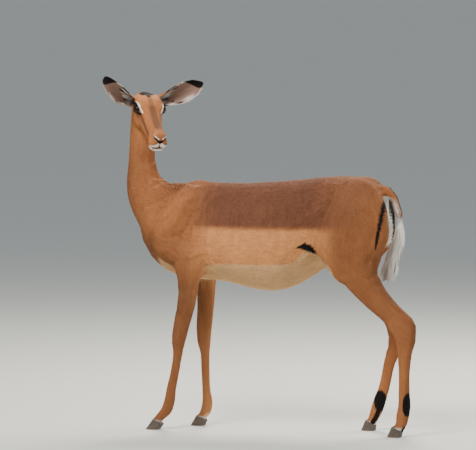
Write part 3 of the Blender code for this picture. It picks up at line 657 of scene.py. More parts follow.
@dataclass(frozen=True)
class Flesh:
    """The animal's flesh: its forms, joined, blended and sculpted into one skin."""

    voxel: float = 0.0032
    sides: int = 48
    steps: int = 8
    blend_steps: int = 62
    finish_steps: int = 4
    kept_share: float = 0.13
    coat_depth: float = 0.0022
    face_depth: float = 0.0008

    def forms(self) -> list[Form]:
        """Makes every form of the body."""
        args = (self.steps, self.sides)
        made = [
            loft_along_x("trunk", TRUNK, *args, Matrix.Identity(4), 1.0),
            loft_along_x("head", HEAD, *args, PLAN.place(), -1.0),
            limb_form("neck", NECK, *args, Side.RIGHT, -1.0),
            limb_form("tail", TAIL, *args, Side.RIGHT),
        ]
        core = np.array(TAIL_BRUSH) * ((1.0,) * 3 + (BRUSH_CORE_SHARE,) * 3)
        made.append(limb_form("brush", core, *args, Side.RIGHT))
        legs = {
            Side.LEFT: (LEFT_FORELEG, LEFT_THIGH, LEFT_HINDLEG),
            Side.RIGHT: (RIGHT_FORELEG, RIGHT_THIGH, RIGHT_HINDLEG),
        }
        for side, (foreleg, thigh, hindleg) in legs.items():
            tables = (("shoulder", SHOULDER), ("arm", UPPER_ARM), ("foreleg", foreleg), ("thigh", thigh),
                      ("hindleg", hindleg))
            made += [limb_form(f"{name}_{side.name}", table, *args, side) for name, table in tables]
        return made

    def swellings(self) -> list[np.ndarray]:
        """Makes the rounded swellings of the head, as points of spheres laid on the same faces."""
        bm = bmesh.new()
        bmesh.ops.create_icosphere(bm, subdivisions=4, radius=1.0)
        ball = np.array([vertex.co for vertex in bm.verts])
        bm.free()
        made = []
        for x, y, z, *radii in np.array(SWELLINGS) / MM:
            for side in Side:
                made.append(PLAN.out(ball * radii + (x, -side.value * y, z)))
        return made

    def joined(self, forms: list[Form]) -> Object:
        """Joins the forms into one mesh of even cells."""
        points, faces, start = [], [], 0
        for form in forms:
            placed, rows = form.mesh(start)
            points.append(placed)
            faces += rows
            start += len(placed)
        bm = bmesh.new()
        bmesh.ops.create_icosphere(bm, subdivisions=4, radius=1.0)
        ball = [tuple(vertex.index for vertex in face.verts) for face in bm.faces]
        bm.free()
        for placed in self.swellings():
            points.append(placed)
            faces += [tuple(start + i for i in face) for face in ball]
            start += len(placed)
        made = object_of("skin", np.concatenate(points), faces)
        grid = made.modifiers.new("join", "REMESH")
        grid.mode = "VOXEL"
        grid.voxel_size = self.voxel
        return settled(made)

    def blended(self, skin: Object) -> None:
        """Blends the forms of the trunk into each other, and leaves the face and lower legs crisp."""
        points, edges = points_of(skin), edges_of(skin)
        along = PLAN.own(points)[:, 0]
        high = points[:, 2]
        soft = ramp(high, 0.36, 0.47) * (1 - ramp(along, -0.01, 0.03) * above_neck(points))
        points = relaxed(points, edges, soft, self.blend_steps)
        move_points(skin, relaxed(points, edges, np.ones(len(points)), self.finish_steps))

    def thinned(self, skin: Object) -> Object:
        """Takes faces out where the body is plain, fewer of them on the feet, and none on the head."""
        points = points_of(skin)
        own = PLAN.own(points)
        high = points[:, 2]
        plain = 1 - ramp(own[:, 0], -0.09, -0.05) * ramp(own[:, 2], -0.13, -0.112) * ramp(high, 0.8, HEAD_LOW)
        plain *= ramp(high, 0.1, 0.3) * 0.3 + 0.7
        group = skin.vertex_groups.new(name="plain")
        for i, weight in enumerate(plain):
            group.add([i], float(weight), "REPLACE")
        thin = skin.modifiers.new("thin", "DECIMATE")
        thin.ratio = self.kept_share
        thin.vertex_group = "plain"
        settled(skin)
        skin.vertex_groups.clear()
        return skin

    def refined(self, skin: Object, inside: np.ndarray, longest: float = 0.0) -> None:
        """Cuts the edges whose ends are both marked and that are longer than a limit."""
        bm = bmesh.new()
        bm.from_mesh(skin.data)
        bm.edges.ensure_lookup_table()
        chosen = [
            edge
            for edge in bm.edges
            if inside[edge.verts[0].index] and inside[edge.verts[1].index] and edge.calc_length() > longest
        ]
        bmesh.ops.subdivide_edges(bm, edges=chosen, cuts=1, use_grid_fill=True)
        bmesh.ops.triangulate(bm, faces=[face for face in bm.faces if len(face.verts) > 4])
        bm.to_mesh(skin.data)
        bm.free()

    def inset(self, skin: Object) -> None:
        """Sinks the skin by the depth of the coat."""
        points = points_of(skin)
        own = PLAN.own(points)[:, 0]
        face = ramp(own, -0.03, 0.03) * above_neck(points)
        depth = self.coat_depth + (self.face_depth - self.coat_depth) * face
        move_points(skin, points - normals_of(skin) * depth[:, None])

    def carve_body(self, skin: Object) -> None:
        """Draws the muscles, ribs and folds of the body."""
        points, normals = points_of(skin), normals_of(skin)
        flat = points[:, (0, 2)]
        facing = ramp(abs(normals[:, 1]), 0.15, 0.6)
        body = 1 - ramp(PLAN.own(points)[:, 0], -0.05, -0.02) * above_neck(points)
        strokes = list(BODY_STROKES)
        for i in range(RIB_COUNT):
            x = RIB_FIRST + i * RIB_STEP
            top, foot = (x, RIB_TOP), (x + RIB_LEAN * 0.8, RIB_FOOT + 4 * i)
            middle = (x + RIB_LEAN, (RIB_TOP + RIB_FOOT) / 2)
            strokes.append(Stroke((top, middle, foot), RIB_REACH, RIB_HEIGHT))
        rise = np.zeros(len(points))
        for stroke in strokes:
            gap, share = near_line(flat, np.array(stroke.line) / MM)
            fade = ramp(share, 0.0, 0.18) * fall(share, 0.82, 1.0) * 0.7 + 0.3
            rise += stroke.height / MM * np.exp(-((gap * MM / stroke.reach) ** 2)) * fade
        move_points(skin, points + normals * (rise * facing * body)[:, None])

    def carve_legs(self, skin: Object, forms: list[Form]) -> None:
        """Parts bone from tendon on the cannons."""
        points, normals = points_of(skin), normals_of(skin)
        rise = np.zeros(len(points))
        lines = {form.name: form for form in forms}
        for side in Side:
            for name, low, high, back in (("foreleg", 0.115, 0.25, 0.0045), ("hindleg", 0.125, 0.29, 0.0055)):
                form = lines[f"{name}_{side.name}"]
                line = form.line[(form.line[:, 2] > low - 0.03) & (form.line[:, 2] < high + 0.03)]
                line = line + (back, 0.0, 0.0)
                gap, _ = near_line(points[:, (0, 2)], line[:, (0, 2)])
                band = ramp(points[:, 2], low - 0.01, low + 0.02) * fall(points[:, 2], high - 0.02, high)
                near = ramp(-abs(points[:, 1] - line[:, 1].mean()), -0.04, -0.03)
                groove = -0.0016 * np.exp(-((gap / 0.0036) ** 2))
                rise += groove * band * near * ramp(abs(normals[:, 1]), 0.3, 0.7)
        move_points(skin, points + normals * rise[:, None])

    def carve_face(self, skin: Object) -> None:
        """Draws the nostrils, mouth, brow, cheek and folds."""
        points, normals = points_of(skin), normals_of(skin)
        folded = PLAN.folded(points)
        face = (folded[:, 0] > 0.0) & (points[:, 2] > HEAD_LOW)
        rise = np.zeros(len(points))
        for line, reach, height in FACE_STROKES:
            gap, _ = near_line(folded[face], np.array(line) / MM)
            rise[face] += height / MM * np.exp(-((gap * MM / reach) ** 2))
        move_points(skin, points + normals * rise[:, None])

    def open_eyes(self, skin: Object) -> None:
        """Lays the lids over the eyeballs and sinks what lies in the openings behind them."""
        points = points_of(skin)
        own = PLAN.own(points)
        radius = PLAN.eye_radius
        for side in Side:
            local = own - PLAN.eye_own(side)
            reach = np.linalg.norm(local, axis=1)
            near = (reach < 0.045) & (local @ LIDS.axes(side)[0] > -0.2 * reach)
            inside = LIDS.inside(local[near], side)
            old = reach[near]
            lid = radius + LIDS.thickness - LIDS.fold_depth * np.exp(
                -(((inside - LIDS.fold_at) / LIDS.fold_width) ** 2)
            )
            laid = old + np.maximum(lid - old, 0.0) * fall(-inside, LIDS.spread * 0.45, LIDS.spread)
            laid = laid - np.maximum(laid - lid, 0.0) * fall(-inside, 2.0, LIDS.spread * 0.6)
            opened = ramp(inside, -LIDS.edge / 2, LIDS.edge / 2)
            wanted = laid * (1 - opened) + radius * LIDS.hidden * opened
            own[near] += local[near] * ((wanted - old) / old)[:, None]
        move_points(skin, PLAN.out(own))


@dataclass(frozen=True)
class EarShape:
    """One ear: a leaf bent round its spine, with ridges inside it."""

    side: Side
    across: int = 30
    steps: int = 6
    ridge: float = 0.0012

    def spine_and_ways(self) -> tuple[np.ndarray, np.ndarray, np.ndarray, np.ndarray]:
        """Gives the ear's root, and its ways to the tip, to the opening and across, in the head's frame."""
        mirror = Vector((1, -self.side.value, 1))
        root, tip = PLAN.ear_root * mirror, PLAN.ear_tip(self.side)
        way = (tip - root).normalized()
        opens = PLAN.ear_opens * mirror
        opens = (opens - way * opens.dot(way)).normalized()
        return tuple(np.array(v) for v in (root, tip - root, opens, way.cross(opens)))

    def surface(self, shares: np.ndarray, turns: np.ndarray) -> np.ndarray:
        """Gives places on the leaf.

        Args:
            shares: Shares of the length, from root to tip.
            turns: Places across, from -1 to 1.

        Returns:
            Points in the animal's plan.
        """
        root, length, opens, across = self.spine_and_ways()
        table = spline(tuple((s, 0.0, 0.0, bend, angle) for s, bend, angle in EAR_BEND), 8)
        bend = np.interp(shares, table[:, 0], table[:, 3])
        half = np.radians(np.interp(shares, table[:, 0], table[:, 4]))
        narrowed, pointed = PLAN.ear_cut(self.side)
        half = half * (1 - pointed * ramp(shares, 0.84, 1.0))
        bend = bend * (1 - (1 - narrowed) * ramp(shares, 0.1, 0.3))
        half = half * (1 - 0.4 * (1 - narrowed) * ramp(shares, 0.1, 0.3))
        swing = np.sin(math.pi * shares)
        spine = root + np.outer(shares, length) + np.outer(PLAN.ear_bow * swing, opens)
        spine = spine - np.outer(self.side.value * PLAN.ear_sway(self.side) * swing, across)
        turn = half * turns
        return PLAN.out(
            spine + np.outer(bend * (1 - np.cos(turn)), opens) + np.outer(bend * np.sin(turn), across)
        )

    def solid(self) -> Object:
        """Makes the ear as a closed solid with a thin rim."""
        rows = spline(tuple((s, 0.0, 0.0) for s, _, _ in EAR_BEND), self.steps)[:, 0]
        count = self.across + 1
        turns = np.linspace(-1, 1, count)
        shares = np.repeat(rows, count)
        spread = np.tile(turns, len(rows))
        middle = self.surface(shares, spread)
        step = 1e-3
        ahead, behind = np.minimum(shares + step, 1), np.maximum(shares - step, 0)
        along = self.surface(ahead, spread) - self.surface(behind, spread)
        aside = self.surface(shares, spread + step) - self.surface(shares, spread - step)
        face = unit(np.cross(aside, along))
        opens = self.spine_and_ways()[2] @ np.array(PLAN.place().to_3x3()).T
        inward = face * np.sign((face * opens).sum(1).reshape(len(rows), count)[:, self.across // 2].mean())
        wall = PLAN.ear_wall * (0.3 + 0.7 * (1 - abs(spread) ** 4)) * (0.45 + 0.55 * (1 - shares**6))
        ridges = self.ridge * np.cos(spread * 3.5 * math.pi) * ramp(shares, 0.12, 0.3)
        ridges = ridges * fall(shares, 0.6, 0.9)
        inner = middle + inward * (wall / 2 + np.maximum(ridges, -wall / 3) * (1 - spread**2))[:, None]
        outer = middle - inward * (wall / 2)[:, None]
        total = len(middle)
        faces = []
        for row in range(len(rows) - 1):
            for i in range(self.across):
                a, b = row * count + i, (row + 1) * count + i
                faces.append((a, a + 1, b + 1, b))
                faces.append((total + a, total + b, total + b + 1, total + a + 1))
            for i in (0, self.across):
                a, b = row * count + i, (row + 1) * count + i
                faces.append((a, b, total + b, total + a) if i == 0 else (a, total + a, total + b, b))
        last = (len(rows) - 1) * count
        for i in range(self.across):
            faces.append((i, total + i, total + i + 1, i + 1))
            faces.append((last + i, last + i + 1, total + last + i + 1, total + last + i))
        return object_of("ear_" + self.side.name.lower(), np.concatenate([inner, outer]), faces)


def with_ears(skin: Object) -> tuple[Object, np.ndarray]:
    """Joins the ears to the skin and rounds the joints.

    Args:
        skin: The skin without its ears.

    Returns:
        The skin, and for each of its vertices a row of ear facts: how much it belongs to an ear, its share
        of the ear's length, its place across from -1 to 1, and 1 if it is inside the hollow.
    """
    tree_points, facts = [], []
    for side in Side:
        shape = EarShape(side)
        solid = shape.solid()
        points, normals = points_of(solid), normals_of(solid)
        rows = len(points) // 2
        count = shape.across + 1
        shares = np.repeat(spline(tuple((s, 0.0, 0.0) for s, _, _ in EAR_BEND), shape.steps)[:, 0], count)
        spread = np.tile(np.linspace(-1, 1, count), len(shares) // count)
        tree_points.append(points)
        for hollow in (1.0, 0.0):
            facts.append(np.stack([np.ones(rows), shares, spread * -side.value, np.full(rows, hollow)], 1))
        union = skin.modifiers.new("ear", "BOOLEAN")
        union.operation = "UNION"
        union.object = solid
        settled(skin)
        bpy.data.objects.remove(solid)
    known, facts = np.concatenate(tree_points), np.concatenate(facts)
    tree = KDTree(len(known))
    for i, point in enumerate(known):
        tree.insert(point, i)
    tree.balance()
    points = points_of(skin)
    rows = np.zeros((len(points), 4))
    high = np.flatnonzero(points[:, 2] > 1.0)
    for i in high:
        _, index, gap = tree.find(points[i])
        rows[i] = facts[index]
        rows[i, 0] = 1.0 if gap < 0.0012 else 0.0
    edges = edges_of(skin)
    belongs = rows[:, :1]
    border = abs(relaxed(belongs, edges, np.ones(len(points)), 6) - belongs)[:, 0]
    weights = np.clip(border * 4, 0.0, 1.0)
    move_points(skin, relaxed(points, edges, weights, 12))
    return skin, rows


# Rump: (z, where the black stripe's middle lies, where the white behind it starts), on planes that slant
# forward away from the middle.
RUMP_STRIPE = (
    (0.58, 0.3665, 0.43), (0.5933, 0.3678, 0.428), (0.616, 0.3709, 0.424), (0.648, 0.3758, 0.415),
    (0.676, 0.3807, 0.4102), (0.701, 0.3856, 0.4086), (0.726, 0.3915, 0.4085), (0.7475, 0.3985, 0.4105),
    (0.768, 0.405, 0.413),
)
RUMP_SLANT = 0.249
# The stripe of the animal's right thigh seen from behind: height, place across and half-width.
RIGHT_STRIPE = (
    (0.6, 0.063, 0.004), (0.64, 0.059, 0.007), (0.68, 0.056, 0.011), (0.72, 0.054, 0.015),
    (0.77, 0.05, 0.016),
)
# The outer edge of the white of the left thigh seen from behind: heights, and places across.
LEFT_WHITE = ((0.6, 0.66, 0.7, 0.74, 0.77), (-0.04, -0.058, -0.057, -0.037, -0.03))
BELLY_LINE = (
    (-0.17, 0.536), (-0.12, 0.545), (0.06, 0.5465), (0.1036, 0.5484), (0.1299, 0.5551), (0.1465, 0.5699),
    (0.1531, 0.583), (0.157, 0.592), (0.18, 0.59), (0.193, 0.583), (0.2134, 0.5675), (0.2325, 0.549),
    (0.27, 0.52),
)
# A black patch painted in the fold of the flank as the shade in the crease: its line in (x, z), and its
# half-width.
FOLD_LINE = ((0.14, 0.602), (0.162, 0.6035), (0.1735, 0.599), (0.194, 0.5825))
FOLD_WIDTH = 0.0135

# Marks of the face, in millimetres of the head's own frame and mirrored: (points, half-width, strength).
FACE_BLACK = (
    (((188, 22.5, -40), (192.5, 19.5, -43), (198, 14, -46.2)), 3.4, 1),
    (((198, 14, -46.2), (201, 8, -50), (203.5, 2, -56)), 3.6, 1),
    (((204, 0, -52), (204.5, 0, -57)), 4.2, 1),
    (((204.5, 0, -56), (204.5, 0, -68), (201, 0, -79)), 2.2, 1),
    (((201.5, 0, -80.5), (196, 12.5, -82), (184, 21.5, -83), (166, 25.5, -82), (148, 26.2, -78)), 2.2, 1),
    (((60, 43, -34), (69, 40.5, -33.5), (76.5, 36.8, -32.5)), 5.6, 1),
    (((-6, 46, -30), (6, 50, -42), (20, 48, -33)), 6.5, 0.95), (((28, 44, -26), (33, 45, -38)), 7, 0.95),
    (((2, 16, 2), (12, 4, 3)), 8, 1), (((10, 0, 3), (24, 1, 2)), 6.4, 1),
)
FACE_WHITE = (
    (((40, 43, -12), (54, 40.3, -10.5), (64, 39.3, -12.8)), 3.8, 1),
    (((64, 39.3, -12.8), (73, 35.7, -17.5), (82, 32, -23)), 2.6, 1),
    (((82, 32, -23), (95.4, 26.7, -27), (114.4, 22.7, -31.3), (133.8, 19.3, -33.4),
      (156.9, 15.8, -33.5)), 1.7, 0.22),
    (((187, 20, -36.8), (195, 16, -39), (201, 8, -44)), 2.9, 0.95),
    (((203, 6, -64), (199, 17, -72.5), (190, 22.5, -77)), 6.6, 1),
    (((190, 22.5, -77), (175, 26.2, -78)), 2.4, 0.4),
    (((198, 0, -89), (185, 15, -91), (178, 16.5, -93)), 8, 0.85),
)
# Painted shade of the face, in millimetres of the head's own frame and mirrored: (points, half-width,
# strength): a dark band from the eye down the side of the muzzle, and a fainter one under the eye.
FACE_SHADE = (
    (((82.4, 34.9, -37), (96.9, 31, -42.5), (112, 28.4, -51), (130.1, 25.3, -58),
      (150, 24.4, -64)), 7.5, 0.9),
    (((36, 40, -48), (64, 38.5, -48), (86, 34, -44)), 6, 0.45),
)
# Spots inside the ears: (mark, share of the length, place up the leaf from -1 to 1, reaches, strength).
EAR_SPOTS = (
    ("black", 0.46, 0.6, 0.1, 0.11, 1.0),
    ("black", 0.2, -0.08, 0.11, 0.1, 0.9),
    ("black", 0.45, -0.82, 0.1, 0.15, 0.9),
    ("black", 0.33, -0.48, 0.05, 0.14, 0.8),
    # the dark brown spots are painted shade in the ear's hollow
    ("dusk", 0.37, 0.0, 0.055, 0.14, 0.9),
    ("dusk", 0.6, 0.3, 0.11, 0.08, 0.6),
    ("dusk", 0.56, -0.15, 0.06, 0.1, 0.55),
    ("white", 0.1, 0.05, 0.11, 0.7, 0.9),
    ("white", 0.22, 0.25, 0.13, 0.28, 0.95),
    ("white", 0.36, 0.78, 0.18, 0.12, 0.9),
    ("white", 0.36, 0.4, 0.12, 0.08, 0.8),
    ("white", 0.62, -0.72, 0.18, 0.26, 0.65),
    ("white", 0.28, -0.8, 0.12, 0.2, 0.7),
)
FACE_DUSK = (
    (((75, 0, -8), (120, 0, -21), (154, 0, -28)), 12, 0.72), (((25, 0, 2), (80, 0, -9)), 7.5, 0.5),
)


@dataclass(frozen=True)
class Gland:
    """The black tuft of a hind cannon and the dark line under it, in (x, z)."""

    side: Side
    centre: tuple[float, float]
    line: tuple[tuple[float, float], ...]
    half_length: float
    half_width: float
    line_width: float


GLANDS = (
    Gland(Side.LEFT, (0.4985, 0.109), ((0.505, 0.08), (0.504, 0.058), (0.495, 0.04), (0.483, 0.027)), 0.0355,
          0.0168, 0.0032),
    Gland(Side.RIGHT, (0.379, 0.102), ((0.376, 0.074), (0.366, 0.05), (0.356, 0.033)), 0.033, 0.0195, 0.0062),
)


@dataclass
class Surface:
    """What is known of each vertex of the skin, and what is drawn on it."""

    points: np.ndarray
    normals: np.ndarray
    edges: np.ndarray
    ears: np.ndarray
    forms: list[Form]

    def __post_init__(self) -> None:
        """Works out the head's frame and the form that each vertex belongs to."""
        self.own = PLAN.own(self.points)
        self.folded = PLAN.folded(self.points)
        self.own_normals = self.normals @ np.array(PLAN.place().to_3x3())
        self.is_head = ramp(self.own[:, 0], -0.055, -0.02) * ramp(self.own[:, 2], -0.145, -0.112)
        self.is_head *= above_neck(self.points)
        self.weights, self.lie = self.follow_forms()

    def follow_forms(self) -> tuple[dict[str, np.ndarray], np.ndarray]:
        """Shares each vertex among the forms near it.

        Returns:
            Each form's share, by its name, and the way the hair lies at each vertex.
        """
        scores, ways = [], []
        for form in self.forms:
            best = np.full(len(self.points), np.inf)
            way = np.zeros_like(self.points)
            for place, reach, lie in zip(form.line[::2], form.reach[::2], form.lie[::2]):
                score = np.linalg.norm(self.points - place, axis=1) / max(reach, 0.012)
                nearer = score < best
                best[nearer] = score[nearer]
                way[nearer] = lie
            scores.append(best)
            ways.append(way)
        scores = np.array(scores)
        share = np.exp(-5.0 * (scores - scores.min(axis=0)))
        share /= share.sum(axis=0)
        lie = sum(part[:, None] * way for part, way in zip(share, ways))
        for side in Side:
            way = np.array(PLAN.place().to_3x3()) @ EarShape(side).spine_and_ways()[1]
            mine = (self.ears[:, 0] > 0) & (np.sign(self.own[:, 1]) == -side.value)
            lie[mine] = way
        lie = relaxed(unit(lie), self.edges, np.ones(len(lie)), 14)
        lie -= self.normals * (lie * self.normals).sum(1)[:, None]
        return {form.name: part for form, part in zip(self.forms, share)}, unit(lie)

    def part(self, *starts: str) -> np.ndarray:
        """Adds up the shares of the forms whose names start so."""
        return sum(share for name, share in self.weights.items() if name.startswith(starts))

    def drawn(self, marks: tuple, soft: float = 0.35) -> np.ndarray:
        """Draws marks of the face.

        Args:
            marks: Rows as in FACE_BLACK.
            soft: How much of a mark's half-width its edge takes.

        Returns:
            The strength of the marks at each vertex.
        """
        value = np.zeros(len(self.points))
        face = self.is_head > 0
        for line, width, strength in marks:
            gap = near_line(self.folded[face], np.array(line) / MM)[0] * MM
            mark = strength * fall(gap, width * (1 - soft), width * (1 + soft))
            value[face] = np.maximum(value[face], mark)
        return value

    def ear_marks(self) -> dict[str, np.ndarray]:
        """Draws the black tips, pale rims and rosy hollows of the ears."""
        belongs, share, across, hollow = self.ears.T
        high = -across
        tip = ramp(share + 0.13 * high, 0.8, 0.86)
        edge = ramp(share, 0.3, 0.35) * fall(share, 0.5, 0.56) * ramp(high, 0.82, 0.9)
        found = {kind: np.zeros(len(share)) for kind in ("white", "dusk")}
        found["black"] = np.maximum(tip, 0.95 * edge)
        for kind, at, up, reach, reach_up, strength in EAR_SPOTS:
            spot = 1 - ramp(np.hypot((share - at) / reach, (high - up) / reach_up), 0.25, 1.35)
            found[kind] = np.maximum(found[kind], strength * spot * hollow)
        rim = ramp(abs(high), 0.84, 0.95) * ramp(share, 0.05, 0.15) * (1 - tip)
        found["white"] = np.maximum(found["white"], 0.8 * rim * hollow) * (1 - found["black"])
        return {kind: value * belongs for kind, value in found.items()} | {"rose": hollow * belongs}

    def rump(self) -> tuple[np.ndarray, np.ndarray]:
        """Gives the black stripe at the back of each thigh, and the white behind it."""
        x, y, z = self.points.T
        line = np.array(RUMP_STRIPE)
        slanted = x - RUMP_SLANT * abs(y)
        behind = slanted - np.interp(z, line[:, 0], line[:, 1])
        width = np.interp(z, (0.6, 0.63, 0.7, 0.77), (0.0022, 0.0046, 0.007, 0.0098))
        flesh = (1 - self.part("tail", "brush")) * ramp(x, 0.33, 0.36)
        high = ramp(z, 0.596, 0.606) * fall(z, 0.768, 0.774) * flesh
        left = fall(abs(behind), width - 0.0012, width + 0.0012) * ramp(-y, 0.031, 0.037)
        side = np.array(RIGHT_STRIPE)
        aside = y - np.interp(z, side[:, 0], side[:, 1])
        half = np.interp(z, side[:, 0], side[:, 2])
        right = 1 - ramp(abs(aside), half - 0.0015, half + 0.0015)
        stripe = np.where(y < 0, left, right) * high
        between = ramp(y - np.interp(z, LEFT_WHITE[0], LEFT_WHITE[1]), -0.003, 0.003) * ramp(x, 0.365, 0.385)
        between = between * fall(aside + half, -0.0015, 0.0015)
        edge = ramp(slanted - np.interp(z, line[:, 0], line[:, 2]), -0.001, 0.001) * (y < 0)
        white = np.maximum(between, edge) * ramp(z, 0.585, 0.625) * fall(z, 0.76, 0.77) * flesh
        return stripe, white

    def marks(self) -> dict[str, np.ndarray]:
        """Draws every mark of the coat, and the shade painted into it.

        Returns:
            The strength of each, from 0 to 1, by its name.
        """
        x, y, z = self.points.T
        aside = abs(y)
        out_y = np.sign(y) * self.normals[:, 1]
        legs = self.part("foreleg", "hindleg")
        saddle = ramp(z, 0.653, 0.673) * ramp(x, -0.285, -0.125) * fall(x, 0.16, 0.36)
        ridge = 0.55 * ramp(z, 0.725, 0.8) * ramp(x, -0.36, -0.27) * fall(x, 0.37, 0.42)
        flank = ramp(x, -0.24, -0.12) * fall(x, 0.175, 0.285) * fall(z, 0.652, 0.668)
        line = np.array(BELLY_LINE)
        belly = ramp(np.interp(x, line[:, 0], line[:, 1]) - z, -0.004, 0.004)
        belly = belly * ramp(x, -0.19, -0.15) * fall(x, 0.245, 0.26) * (1 - legs)
        brisket = ramp(-self.normals[:, 2], 0.1, 0.5) * fall(aside, 0.05, 0.062) * ramp(x, -0.35, -0.322)
        brisket = brisket * fall(x, -0.17, -0.15) * fall(z, 0.545, 0.575)
        inner_thigh = ramp(-out_y, 0.15, 0.5) * ramp(x, 0.17, 0.21) * ramp(z, 0.5, 0.55) * fall(z, 0.7, 0.74)
        inner_thigh = inner_thigh * fall(x - 0.25 * (z - 0.5), 0.335, 0.36)
        inner_arm = 0.6 * ramp(-out_y, 0.2, 0.55) * fall(x, -0.15, -0.13) * ramp(z, 0.455, 0.5)
        inner_arm = inner_arm * fall(z, 0.54, 0.58)
        stripe, rump = self.rump()
        tail = self.part("tail", "brush")
        axis = np.array(TAIL)[::-1] / MM
        under = np.interp(z, axis[:, 2], axis[:, 0]) - x
        under_tail = tail * ramp(under, 0.0095, 0.0125) * fall(z, 0.75, 0.765)
        under_tail = np.maximum(under_tail, ramp(tail, 0.1, 0.3) * fall(z, 0.69, 0.708))
        tail_line = tail * fall(aside, 0.0045, 0.0075) * ramp(self.normals[:, 0], 0.3, 0.6)
        tail_line = tail_line * fall(z, 0.805, 0.815) * ramp(z, 0.7, 0.72)
        cuff = 0.65 * fall(z, 0.026, 0.04)
        crown = 1 - ramp(np.hypot((self.own[:, 0] - 0.001) / 0.022, self.own[:, 1] / 0.029), 0.75, 1.05)
        crown = crown * ramp(self.own_normals[:, 2], 0.2, 0.5) * self.is_head * (1 - self.ears[:, 0])
        # painted shade: black in the crease of the flank fold
        gap, along = near_line(self.points[:, (0, 2)], FOLD_LINE)
        fold_width = FOLD_WIDTH * np.sin(math.pi * np.clip(along, 0.02, 0.98)) ** 0.6
        fold_shade = fall(gap, fold_width * 0.62, fold_width * 1.05) * ramp(out_y, 0.0, 0.2) * (x > 0.1)
        gland = np.zeros(len(x))
        for mark in GLANDS:
            mine = np.sign(y) == mark.side.value
            spot = np.hypot((x - mark.centre[0]) / mark.half_width, (z - mark.centre[1]) / mark.half_length)
            gap, _ = near_line(self.points[:, (0, 2)], mark.line)
            under = 1 - ramp(gap, mark.line_width - 0.001, mark.line_width + 0.002)
            drawn = np.maximum(1 - ramp(spot, 0.92, 1.06), under)
            gland = np.maximum(gland, drawn * mine * (z < 0.2))
        rims = np.zeros(len(x))
        for side in Side:
            local = self.own - PLAN.eye_own(side)
            near = np.linalg.norm(local, axis=1) < EYE_REGION
            rims[near] = np.maximum(rims[near], ramp(LIDS.inside(local[near], side), -20.0, -15.0))
        ears = self.ear_marks()
        face_black = self.drawn(FACE_BLACK) * (1 - self.ears[:, 0])
        black = np.maximum.reduce([stripe, tail_line, crown, fold_shade, gland, rims, ears["black"], face_black])
        face_white = self.drawn(FACE_WHITE) * (1 - self.ears[:, 0])
        white = np.maximum.reduce([rump, under_tail, cuff, ears["white"], face_white])
        # painted shade: the fronts of the knees, and the front of the chest and throat, are darkened where
        # they face forward
        knee_shade = legs * (np.exp(-(((z - 0.3) / 0.035) ** 2)) * (x < 0) * ramp(-self.normals[:, 0], 0.2, 0.7))
        ahead = -self.normals[:, 0]
        chest_shade = 0.35 * ramp(ahead, 0.2, 0.8) * fall(x, -0.36, -0.3) * fall(z, 0.8, 0.95)
        croup_line = 0.5 * fall(aside, 0.006, 0.016) * ramp(x, 0.15, 0.3) * ramp(z, 0.79, 0.81)
        forearm = 0.22 * self.part("foreleg") * ramp(z, 0.26, 0.31) * fall(z, 0.46, 0.52)
        hocks = 0.35 * legs * ramp(self.normals[:, 0], 0.2, 0.8) * ramp(x, 0.1, 0.2)
        face_dusk = self.drawn(FACE_DUSK, 0.6)
        # dark brown: the coat's own dark nose line and croup line, darker forearms and backs of the hind
        # legs, and painted shade on the chest and knees
        dusk = np.maximum.reduce([face_dusk, 0.25 * knee_shade, chest_shade, croup_line, forearm, hocks])
        # painted shade down the sides of the face, drawn in the saddle's dark brown
        face_shade = self.drawn(FACE_SHADE, 0.7) * (1 - self.ears[:, 0])
        # painted shade: the white of the belly, brisket, inner thighs and inner arms is given a warm cream,
        # as it looks in shade lit from the ground
        cream = np.maximum.reduce([belly, brisket, inner_thigh * (1 - tail), inner_arm])
        return {
            "depth": self.depth(),
            "cream": cream,
            # the saddle's colour also carries the painted shade of the face
            "saddle": np.maximum.reduce([saddle, ridge, face_shade]),
            "flank": flank,
            "dusk": np.maximum(dusk * (1 - self.ears[:, 0]), ears["dusk"]),
            "rose": ears["rose"],
            "white": white,
            "black": black,
            "gland": gland,
        }

    def depth(self) -> np.ndarray:
        """Gives how deep the ochre is, from pale at 0 to rich at 1: partly the coat's own tone, partly
        painted light and shade, with the tops of the shoulders and croup paler and the lower shoulder,
        forearms, thighs, the hollow above the thighs and the hind legs deeper, as the light fell on them.
        """
        x, y, z = self.points.T
        value = np.full(len(x), 0.5)
        for share, depth in (
            # painted light: paler on the tops of the shoulders and croup
            (fall(x, -0.2, -0.14) * ramp(z, 0.62, 0.66), 0.32),
            (ramp(x, 0.28, 0.36) * ramp(z, 0.74, 0.77), 0.3),
            (self.part("neck"), 0.6),
            (self.is_head, 0.2),
            # painted shade: deeper on the thighs, the hollow above them, the lower shoulder and the legs
            (self.part("thigh") * ramp(z, 0.5, 0.56), 0.82),
            (ramp(x, 0.2, 0.26) * fall(x, 0.33, 0.39) * ramp(z, 0.66, 0.71) * fall(z, 0.75, 0.8), 0.98),
            (fall(x, -0.25, -0.19) * ramp(-x, 0.1, 0.15) * fall(z, 0.6, 0.66) * ramp(z, 0.5, 0.53), 0.78),
            (self.part("foreleg") * ramp(z, 0.26, 0.31) * fall(z, 0.47, 0.52), 1.0),
            (self.part("hindleg") * ramp(z, 0.3, 0.34), 0.84),
            (self.part("hindleg") * fall(z, 0.24, 0.3), 0.42),
            (self.part("foreleg") * fall(z, 0.24, 0.3), 0.8),
        ):
            value = value + share * (depth - value)
        return relaxed(value[:, None], self.edges, np.ones(len(x)), 12)[:, 0]

